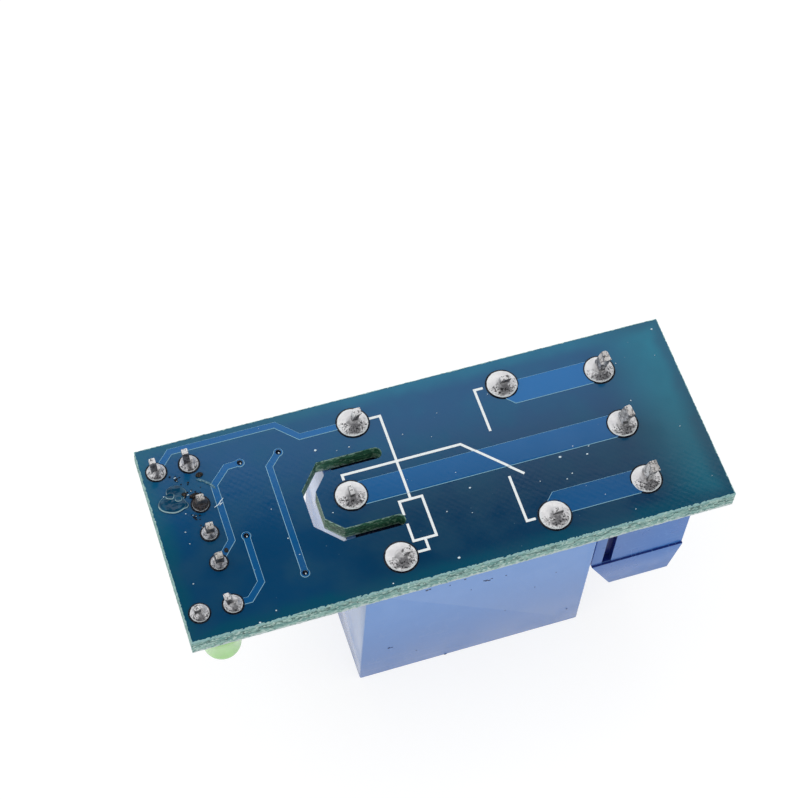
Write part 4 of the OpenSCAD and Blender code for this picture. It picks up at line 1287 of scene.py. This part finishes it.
@dataclass(frozen=True)
class Board:
    """The circuit board with its copper, lacquer, print and sawn outline."""

    track_step: float = 0.05
    track_foot: float = 0.002
    shoulder: float = 0.05
    lip: float = 0.05
    near_lip: float = 0.06
    proud: float = 0.02
    above: float = 0.012
    wall_skin: float = 0.015
    ragged: float = 0.026
    via_fill: float = 16.66
    via_places: tuple[Spot, ...] = ((-13.95, 5.1), (-10.9, 5.15), (-15.2, -1.0), (-11.9, -5.2))

    def build(self) -> None:
        """Builds the board's pieces and finishes its layers."""
        self.upper_mask()
        self.vias()
        self.sawn_outline()
        coat(Palette.ROUTED, "board")
        coat(Palette.MASK, "component_side_mask")
        coat(Palette.INK, "solder_side_legend", "component_side_legend")
        coat(Palette.PAD, "solder_side_copper")
        coat(Palette.COPPER, "component_side_copper")
        coat(Palette.PLATING, "hole_platings")

    def vias(self) -> None:
        """Fills each small hole with a lacquer plug in the painted shade of the hole, with a pale grain in it as a
        painted glint.
        """
        plugs, glints = [], []
        for number, (x, y) in enumerate(self.via_places):
            plugs.append(Bench.lump(f"plug_{number}", mm(x, y, self.via_fill), mm(0.2, 0.2, 0.05), number))
            # A pale grain as a painted glint.
            glints.append(Bench.lump(f"via_glint_{number}", mm(x + 0.05, y - 0.02, self.via_fill + 0.06),
                                     mm(0.055, 0.08, 0.03), number))
        fit(Bench.join("via_fill", plugs), Palette.PLATING, "copper")
        fit(Bench.join("via_glints", glints), Palette.DUST, "copper")

    def upper_mask(self) -> None:
        """Slopes the lacquer down from each track, as it flows when it is laid."""
        mask = Bench.from_node("solder_side_mask", "upper_mask")
        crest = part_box("solder_side_mask")[1].z
        ground = crest - self.track_step * MM

        def on_crest(face: bmesh.types.BMFace) -> bool:
            """Whether a face is the flat top of a track."""
            return face.normal.z > 0.9 and abs(face.calc_center_median().z - crest) < SAME_PLACE

        def drops(vert: bmesh.types.BMVert) -> bool:
            """Whether a corner on a track's top has the open lacquer right under it."""
            ends = [edge.other_vert(vert).co for edge in vert.link_edges]
            return abs(vert.co.z - crest) < SAME_PLACE and any(
                abs(end.z - ground) < SAME_PLACE and (end - vert.co).xy.length < SAME_PLACE for end in ends)

        with Bench.editing(mask):
            Bench.choose(mask, Element.FACE, on_crest)
            bpy.ops.mesh.inset(thickness=self.shoulder * MM, use_even_offset=True)
            Bench.choose(mask, Element.VERT, drops)
            bpy.ops.transform.translate(value=mm(0, 0, self.track_foot - self.track_step))
        Bench.smooth(mask, 20)
        fit(mask, Palette.MASK, "mask", "solder_side_mask")

    def sawn_outline(self) -> None:
        """Wraps the outline in the rough skin that the saw leaves."""
        low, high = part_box("board")
        low = Vector((low.x, low.y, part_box("component_side_mask")[0].z + self.track_step * MM))
        high = Vector((high.x, high.y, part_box("solder_side_mask")[1].z - self.track_step * MM))
        out = mm(self.proud, self.proud, self.above)
        band = Bench.block("sawn_outline", low - out, high + out)
        with Bench.editing(band):
            Bench.choose(band, Element.FACE, lambda face: abs(face.normal.z) > 0.9)
            bpy.ops.mesh.inset(thickness=self.lip * MM)
            bpy.ops.mesh.delete(type="FACE")
            inner_y = low.y + (self.lip - self.proud) * MM
            Bench.choose(band, Element.VERT, lambda vert: abs(vert.co.y - inner_y) < 1e-6
                         and vert.co.z > low.z + 0.0005)
            bpy.ops.transform.translate(value=mm(0, self.near_lip, 0))
            for axis, cuts in ((0, (18, 18)), (1, (18, 6)), (2, (9,))):
                for number in cuts:
                    Bench.choose(band, Element.EDGE, lambda edge: self.runs(edge, axis))
                    bpy.ops.mesh.subdivide(number_cuts=number)
            Bench.choose(band, Element.VERT, lambda vert: True)
            bpy.ops.transform.vertex_random(offset=self.ragged * MM, seed=5)
            Bench.choose(band, Element.VERT, lambda vert: vert.is_boundary and vert.co.z > high.z - 1e-4)
            bpy.ops.transform.vertex_random(offset=2 * self.ragged * MM, seed=9)
        Bench.facing_out(band)
        Bench.modify(band, "SOLIDIFY", thickness=self.wall_skin * MM, offset=-1)
        Bench.smooth(band, 60)
        fit(band, Palette.SAWN, "laminate")

    @staticmethod
    def runs(edge: bmesh.types.BMEdge, axis: int) -> bool:
        """Whether an edge that is still long runs along one axis, from 0 for x to 2 for z."""
        step = edge.verts[0].co - edge.verts[1].co
        return step.length > 0.0003 and abs(step[axis]) > 0.95 * step.length


# ---------------------------------------------------------------- solder


@dataclass(frozen=True)
class Joint:
    """One kind of solder joint: its foot, its neck and its height."""

    name: str
    node: str
    places: tuple[Spot, ...]
    foot: float
    neck: float
    bore: float
    height: float
    hollow: float
    finish: Finish

    def profile(self) -> list[Spot]:
        """Draws the joint's outline.

        Returns:
            Its radii and heights above the board in millimetres.
        """
        lip = 0.1
        steps = [(self.foot, 0.0), (self.foot, 0.6 * lip)]
        for share in (0.05, 0.2, 0.4, 0.58, 0.74, 0.88, 1.0):
            radius = self.foot + (self.neck - self.foot) * share
            steps.append((radius, lip + (self.height - lip) * share ** self.hollow))
        return steps


@dataclass(frozen=True)
class Soldering:
    """All the solder on the board's upper side."""

    plug_foot: float = 15.19
    relay: tuple[Spot, ...] = ((-6.7, 0), (-4.7, 6), (-4.7, -6), (7.5, 6), (7.5, -6))
    terminals: tuple[Spot, ...] = ((15.27, 5.08), (15.27, 0), (15.27, -5.08))
    header: tuple[Spot, ...] = ((-17.73, 0), (-17.73, -2.54))
    burnt: tuple[Spot, ...] = ((-17.73, 2.54),)
    lamps: tuple[Spot, ...] = ((-20.19, 6.1), (-20.19, -6.1), (-17.65, 6.1), (-17.65, -6.1))

    def build(self) -> None:
        """Turns every joint, roughens it and sets it on its pad."""
        for name, node, places, sizes, finish in (
            ("relay_joints", "relay_solder", self.relay, (1.22, 0.34, 0.547, 0.54, 1.8), Palette.SOLDER),
            ("terminal_joints", "terminal_solder", self.terminals, (1.17, 0.5, 0.615, 0.52, 1.7),
             Palette.BLADE_SOLDER),
            ("header_joints", "header_solder", self.header, (0.62, 0.4, 0.503, 0.6, 1.3), Palette.BRIGHT_SOLDER),
            ("burnt_joint", "header_solder", self.burnt, (0.64, 0.4, 0.503, 0.6, 1.2), Palette.BURNT_SOLDER),
            ("lamp_joints", "lamp_solder", self.lamps, (0.73, 0.32, 0.454, 0.66, 1.5), Palette.BRIGHT_SOLDER),
        ):
            self.turn(Joint(name, node, places, *sizes, finish))
        coat(Palette.SOLDER, "surface_solder")

    def turn(self, kind: Joint) -> None:
        """Turns one kind of joint and copies it to each of its places.

        Args:
            kind: The kind of joint.
        """
        model = Bench.disc("joint", mm(0, 0, self.plug_foot), kind.bore)
        stations = [(kind.bore, BOARD_TOP - 0.01), (kind.foot, BOARD_TOP - 0.01)]
        stations += [(radius, BOARD_TOP + 0.02 + height) for radius, height in kind.profile()]
        radius, level = kind.bore, self.plug_foot
        with Bench.editing(model):
            for wide, high in stations:
                Bench.extrude(high - level)
                Bench.scale(wide / radius, mm(0, 0, high))
                radius, level = wide, high
        Bench.facing_out(model)
        Bench.modify(model, "SUBSURF", levels=2, render_levels=2)
        parts = [Bench.copy(model, f"joint_{number}", mm(x, y, 0)) for number, (x, y) in enumerate(kind.places)]
        bpy.data.objects.remove(model)
        joints = Bench.join(kind.name, parts)
        Bench.roughen(joints, 0.07, 0.5)
        fit(Bench.smooth(joints, 60), kind.finish, "solder", kind.node)
        rings = [self.flux_ring(kind, number, x, y) for number, (x, y) in enumerate(kind.places)]
        fit(Bench.join(kind.name + "_flux", rings), Palette.JOINT_RING, "solder")

    @staticmethod
    def flux_ring(kind: Joint, number: int, x: float, y: float) -> Piece:
        """Lays the thin dark film that surrounds a joint.

        Args:
            kind: The kind of joint.
            number: Which of its joints this is.
            x: The joint's place along the board in millimetres.
            y: The joint's place across the board in millimetres.

        Returns:
            The film.
        """
        film = Bench.disc(f"film_{number}", mm(x, y, BOARD_TOP + 0.005), kind.foot + 0.12, 40)
        with Bench.editing(film):
            Bench.extrude(0.05)
            Bench.scale(0.975, mm(x, y, BOARD_TOP + 0.055))
        Bench.facing_out(film)
        Bench.shake(film, 0.02 * MM, number + 1)
        return Bench.smooth(film, 60)


# ---------------------------------------------------------------- the parts


@dataclass(frozen=True)
class Stub:
    """How the cut end of a pin leans above the board."""

    node: str
    lean: Spot = (0.0, 0.0)
    shrink: float = 0.85
    drop: float = 0.0
    edge: float = 0.05

    def build(self, finish: Finish, slot: str) -> None:
        """Cuts and leans one pin of the frame.

        Args:
            finish: The pin's finish.
            slot: The record's slot.
        """
        pin = Bench.from_node(self.node, self.node + "_cut")
        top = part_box(self.node)[1].z / MM
        levels = [STUB_START + (top - STUB_START) * share for share in (0.0, 0.3, 0.55, 0.8, 0.93)]
        ends = [vert.co for vert in pin.data.vertices if vert.co.z > (top - 0.2) * MM]
        head = sum(ends, Vector()) / len(ends) + mm(*self.lean, 0)
        with Bench.editing(pin, Element.VERT):
            Bench.cut_across(levels)
            for level in levels:
                Bench.choose(pin, Element.VERT, lambda vert: vert.co.z > (level + 0.005) * MM)
                bpy.ops.transform.translate(value=mm(*self.lean, -self.drop) / len(levels))
            Bench.choose(pin, Element.VERT, lambda vert: vert.co.z > (top - self.drop - 0.04) * MM)
            Bench.scale(self.shrink, head)
        fit(Bench.round_off(pin, self.edge), finish, slot, self.node)


@dataclass(frozen=True)
class Relay:
    """The sealed relay under the board and the works inside it."""

    edge: float = 0.22
    stubs: tuple[tuple[str, Stub], ...] = (
        ("contacts", Stub("common_pin", (0.0, 0.05), 0.7, 0.1)),
        ("lead", Stub("coil_pin_1", (0.46, 0.32), 1.2, 0.0)),
        ("lead", Stub("coil_pin_2", (0.74, 0.1), 1.1, 0.2)),
        ("contacts", Stub("open_contact", (0.32, 0.0), 0.95, 0.2)),
        ("contacts", Stub("closed_contact", (0.27, 0.0), 0.7, 0.35)))
    specks: tuple[Point, ...] = (
        (1.85, 12.11, 0.16), (2.1, 12.0, 0.12), (1.65, 12.2, 0.08), (2.3, 12.2, 0.09), (0.04, 13.39, 0.11),
        (3.47, 12.06, 0.07), (-2.99, 13.3, 0.14), (-2.75, 13.35, 0.1), (-1.14, 13.06, 0.07),
        (-5.6, 4.5, 0.13), (-5.35, 4.48, 0.08), (4.01, 5.5, 0.05), (7.79, 10.05, 0.05), (9.6, 2.36, 0.07),
        (-3.24, 2.53, 0.05), (-0.61, 0.12, 0.12), (0.7, 11.2, 0.05), (6.2, 8.4, 0.05))

    def build(self) -> None:
        """Dresses the case, the specks of dried flux on its near wall, the works and the pins."""
        rounded("relay_case", "relay_shell", self.edge, Palette.RELAY, "relay_shell", 3)
        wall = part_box("relay_case")[0].y / MM
        specks = [Bench.lump(f"speck_{number}", mm(x, wall, z), mm(half, 0.025, half * 0.9), number)
                  for number, (x, z, half) in enumerate(self.specks)]
        fit(Bench.join("case_specks", specks), Palette.INKY, "relay_shell")
        coat(Palette.BASE, "relay_base")
        coat(Palette.EPOXY, "relay_resin")
        coat(Palette.BOBBIN, "coil_bobbin")
        coat(Palette.WIRE, "coil_winding")
        coat(Palette.IRON, "coil_core", "yoke", "armature")
        coat(Palette.SPRING, "contact_spring")
        coat(Palette.CONTACT, "moving_contact")
        for slot, stub in self.stubs:
            stub.build(Palette.LEAD, slot)


@dataclass(frozen=True)
class TerminalBlock:
    """The screw terminals: housing, cages, clamp plates and screws."""

    edge: float = 0.12
    crinkle: float = 0.1
    crinkle_step: float = 0.32

    def build(self) -> None:
        """Dresses the housing and each of the three ways."""
        rounded("terminal_housing", "terminal_shell", self.edge, Palette.TERMINAL, "terminal_shell")
        for number in (1, 2, 3):
            self.cage(number)
            rounded(f"terminal_screw_{number}", f"clamp_screw_{number}", 0.06, Palette.SCREW, "screw",
                    body=f"screw_{number}")
            coat(Palette.CLAMP, f"terminal_plate_{number}")

    def cage(self, number: int) -> None:
        """Dresses one cage, whose leaning blade is crinkled where it was cut.

        Args:
            number: Which of the three ways.
        """
        node = f"terminal_cage_{number}"
        cage = Bench.from_node(node, f"clamp_cage_{number}")
        with Bench.editing(cage, Element.VERT):
            Bench.cut_across([STUB_START + self.crinkle_step * share for share in range(1, 6)])
            Bench.choose(cage, Element.VERT, lambda vert: vert.co.z > STUB_START * MM)
            bpy.ops.transform.vertex_random(offset=self.crinkle * MM, seed=number)
        Bench.round_off(cage, 0.04, 1)
        fit(Bench.smooth(cage, 12), Palette.BLADE, "clamp", node)


@dataclass(frozen=True)
class Header:
    """The three-way pin header."""

    edge: float = 0.1
    leans: tuple[Spot, ...] = ((0.02, -0.05), (0.05, 0.03), (0.05, 0.0))

    def build(self) -> None:
        """Dresses the strip and its pins."""
        rounded("header_strip", "header_shell", self.edge, Palette.HEADER, "header_shell")
        for number, lean in enumerate(self.leans, 1):
            Stub(f"header_pin_{number}", lean, 0.8).build(Palette.HEADER_PIN, "header_metal")


class LampColour(Enum):
    """The two lamps by colour, each with its lens's finish."""

    RED = Palette.RED_LENS
    GREEN = Palette.GREEN_LENS


@dataclass(frozen=True)
class Lamp:
    """One indicator lamp: its lens and its two leads."""

    colour: LampColour
    leans: tuple[Spot, Spot]

    def build(self) -> None:
        """Dresses the lens and the leads."""
        name = self.colour.name.lower()
        rounded(f"{name}_lamp_lens", f"{name}_lamp_body", 0.06, self.colour.value, f"{name}_lens")
        for part, lean in zip(("anode", "cathode"), self.leans, strict=True):
            Stub(f"{name}_lamp_{part}", lean, 0.9).build(Palette.LEAD, "lead")


@dataclass(frozen=True)
class SurfaceParts:
    """The small parts soldered flat on the under side."""

    edge: float = 0.06

    def build(self) -> None:
        """Dresses the transistor, the diode and the resistors."""
        for node in ("transistor_body", "resistor_1", "resistor_2", "resistor_3"):
            rounded(node, node + "_moulded", self.edge, Palette.CHIP, "chip")
        coat(Palette.LEAD, "transistor_leads", "diode_ends", "resistor_ends")
        coat(Palette.GLASS, "diode_glass")


@dataclass(frozen=True)
class Drop:
    """A flattened, uneven drop on the board, with its half widths and the seed of its outline."""

    name: str
    x: float
    y: float
    reach: Spot
    height: float
    seed: int

    def build(self) -> Piece:
        """Makes the drop.

        Returns:
            The drop, with its foot sunk into the board.
        """
        base = BOARD_TOP - 0.01
        centre = mm(self.x, self.y, base)
        drop = Bench.disc(self.name, centre, self.reach[0], 9)
        with Bench.editing(drop):
            bpy.ops.transform.resize(value=(1, self.reach[1] / self.reach[0], 1), center_override=centre)
            bpy.ops.mesh.select_mode(type="VERT")
            bpy.ops.transform.vertex_random(offset=min(self.reach) * 0.3 * MM, seed=self.seed)
            bpy.ops.transform.resize(value=(1, 1, 0), center_override=centre)
            bpy.ops.mesh.select_mode(type="FACE")
            level = 0.0
            for share, factor in ((0.6, 0.95), (1.0, 0.85), (0.9, 0.6)):
                Bench.extrude(self.height * share - level)
                level = self.height * share
                Bench.scale(factor, mm(self.x, self.y, base + level))
        Bench.facing_out(drop)
        with Bench.editing(drop, Element.VERT):
            Bench.choose(drop, Element.VERT, lambda vert: vert.co.z < (base + 0.02) * MM)
            bpy.ops.transform.translate(value=mm(0, 0, -0.03))
        Bench.modify(drop, "SUBSURF", levels=2, render_levels=2)
        return Bench.smooth(drop, 80)


@dataclass(frozen=True)
class Residue:
    """Burnt flux, spilled resin, dust and scratches on the upper side."""

    pools: tuple[Drop, ...] = (
        Drop("flux_puddle", -19.8, 3.05, (1.15, 0.9), 0.2, 3), Drop("flux_film", -19.3, 3.95, (0.85, 0.75), 0.14, 8),
        Drop("flux_bead", -19.75, 3.75, (0.4, 0.34), 0.28, 5), Drop("flux_bubble", -19.2, 3.35, (0.34, 0.28), 0.26, 7),
        Drop("flux_drip", -18.9, 2.75, (0.4, 0.3), 0.16, 6))
    crusts: tuple[Drop, ...] = (
        Drop("crust_1", -17.15, 4.95, (0.35, 0.22), 0.14, 11), Drop("crust_2", -17.95, 3.3, (0.45, 0.26), 0.2, 12),
        Drop("crust_3", -18.7, 3.65, (0.26, 0.2), 0.16, 13), Drop("crust_4", -16.95, -1.75, (0.2, 0.25), 0.08, 14))
    grain_places: tuple[Point, ...] = (
        (-18.4, 1.4, 0.25), (-18.9, 5.1, 0.15), (-17.9, 3.6, 0.45), (-18.6, 4.0, 0.4))
    streaks: tuple[Point, ...] = ((-17.2, 4.5, -30), (-16.75, 4.15, -42), (-16.45, 3.75, -62))
    hairs: tuple[tuple[float, float, float, float], ...] = (
        (-16.55, 2.05, 0.34, 24), (-16.2, 2.35, 0.32, 38), (-16.25, 2.1, 0.2, 34))
    motes: tuple[Spot, ...] = (
        (-14.8, -7.5), (20.65, 7.45), (-8.15, 4.5), (-5.6, 4.05), (11.7, -1.75), (9.6, -1.4),
        (10.0, -3.0), (2.1, -1.95), (-0.6, -7.3), (-5.95, -7.9), (-16.2, -8.1))
    fine_motes: int = 34

    def build(self) -> None:
        """Lays the puddle, the crust, the streaks and the loose specks."""
        fit(Bench.join("flux_pools", [drop.build() for drop in self.pools]), Palette.FLUX, "resin")
        fit(Bench.join("burnt_crust", [drop.build() for drop in self.crusts]), Palette.BURNT, "resin")
        scatter = random.Random(17)
        self.scattered(scatter, "grain", 9, (0.035, 0.085), (0.8, 0.6), 0.03, 0, "burnt_grains", Palette.BURNT)
        # Pale grains as painted glints on the burnt grains.
        self.scattered(scatter, "glint", 3, (0.03, 0.055), (1.0, 0.7), 0.04, 50, "pale_glints", Palette.DUST)
        streak = [Bench.lump(f"streak_{number}", mm(x, y, BOARD_TOP + 0.05), mm(0.34, 0.1, 0.04), number, turn)
                  for number, (x, y, turn) in enumerate(self.streaks)]
        fit(Bench.join("flux_streak", streak), Palette.RESIDUE, "resin")
        hairs = [Bench.lump(f"hair_{number}", mm(x, y, BOARD_TOP + 0.09), mm(half, 0.035, 0.03), number, turn)
                 for number, (x, y, half, turn) in enumerate(self.hairs)]
        fit(Bench.join("pale_hairs", hairs), Palette.DUST, "legend")
        motes = [self.mote(number, x, y, 1.0) for number, (x, y) in enumerate(self.motes)]
        motes += [self.mote(number, scatter.uniform(-20.5, 20.5), scatter.uniform(-7.8, 7.8), 0.5)
                  for number in range(len(self.motes), len(self.motes) + self.fine_motes)]
        fit(Bench.join("dust_motes", motes), Palette.DUST, "legend")

    def scattered(self, scatter: random.Random, kind: str, times: int, sizes: Spot, flat: Spot, level: float,
                  seed: int, name: str, finish: Finish) -> None:
        """Scatters small grains round the places where they gather.

        Args:
            scatter: Where the random numbers come from.
            kind: What one grain is called.
            times: How many lie at each place.
            sizes: The smallest and the largest half width in millimetres.
            flat: The depth and the height of a grain, as shares of its half width.
            level: How high they lie above the board in millimetres.
            seed: The seed of the first grain's shape.
            name: The name of them all as one piece.
            finish: Their finish.
        """
        grains = []
        for number, (x, y, spread) in enumerate(self.grain_places * times):
            size = scatter.uniform(*sizes)
            place = mm(x + scatter.gauss(0, spread), y + scatter.gauss(0, spread), BOARD_TOP + level)
            widths = mm(size, size * flat[0], size * flat[1])
            grains.append(Bench.lump(f"{kind}_{number}", place, widths, number + seed))
        fit(Bench.join(name, grains), finish, "resin")

    @staticmethod
    def mote(number: int, x: float, y: float, share: float) -> Piece:
        """Makes one fleck of dust, whose number seeds its shape, at a share of its full size."""
        half = share * (0.065 + 0.025 * (number % 3))
        return Bench.lump(f"mote_{number}", mm(x, y, BOARD_TOP + 0.03), mm(half, half * 0.75, 0.04), number)


def main() -> None:
    """Builds the scene round the frame, piece by piece."""
    logging.basicConfig(level=logging.INFO, format="%(name)s: %(message)s", stream=sys.stdout)
    kept = set(frame["nodes"].values()) | set(frame["bodies"].values())
    for obj in set(bpy.data.objects) - kept:
        bpy.data.objects.remove(obj)
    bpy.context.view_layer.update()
    assemblies = (
        Viewpoint(),
        Studio(),
        Board(),
        Soldering(),
        Relay(),
        TerminalBlock(),
        Header(),
        Lamp(LampColour.RED, ((0.02, 0.0), (0.0, 0.02))),
        Lamp(LampColour.GREEN, ((0.0, 0.0), (-0.25, 0.2))),
        SurfaceParts(),
        Residue(),
    )
    for assembly in assemblies:
        assembly.build()
        LOG.info("built %s", type(assembly).__name__)


if __name__ == "__main__":
    main()
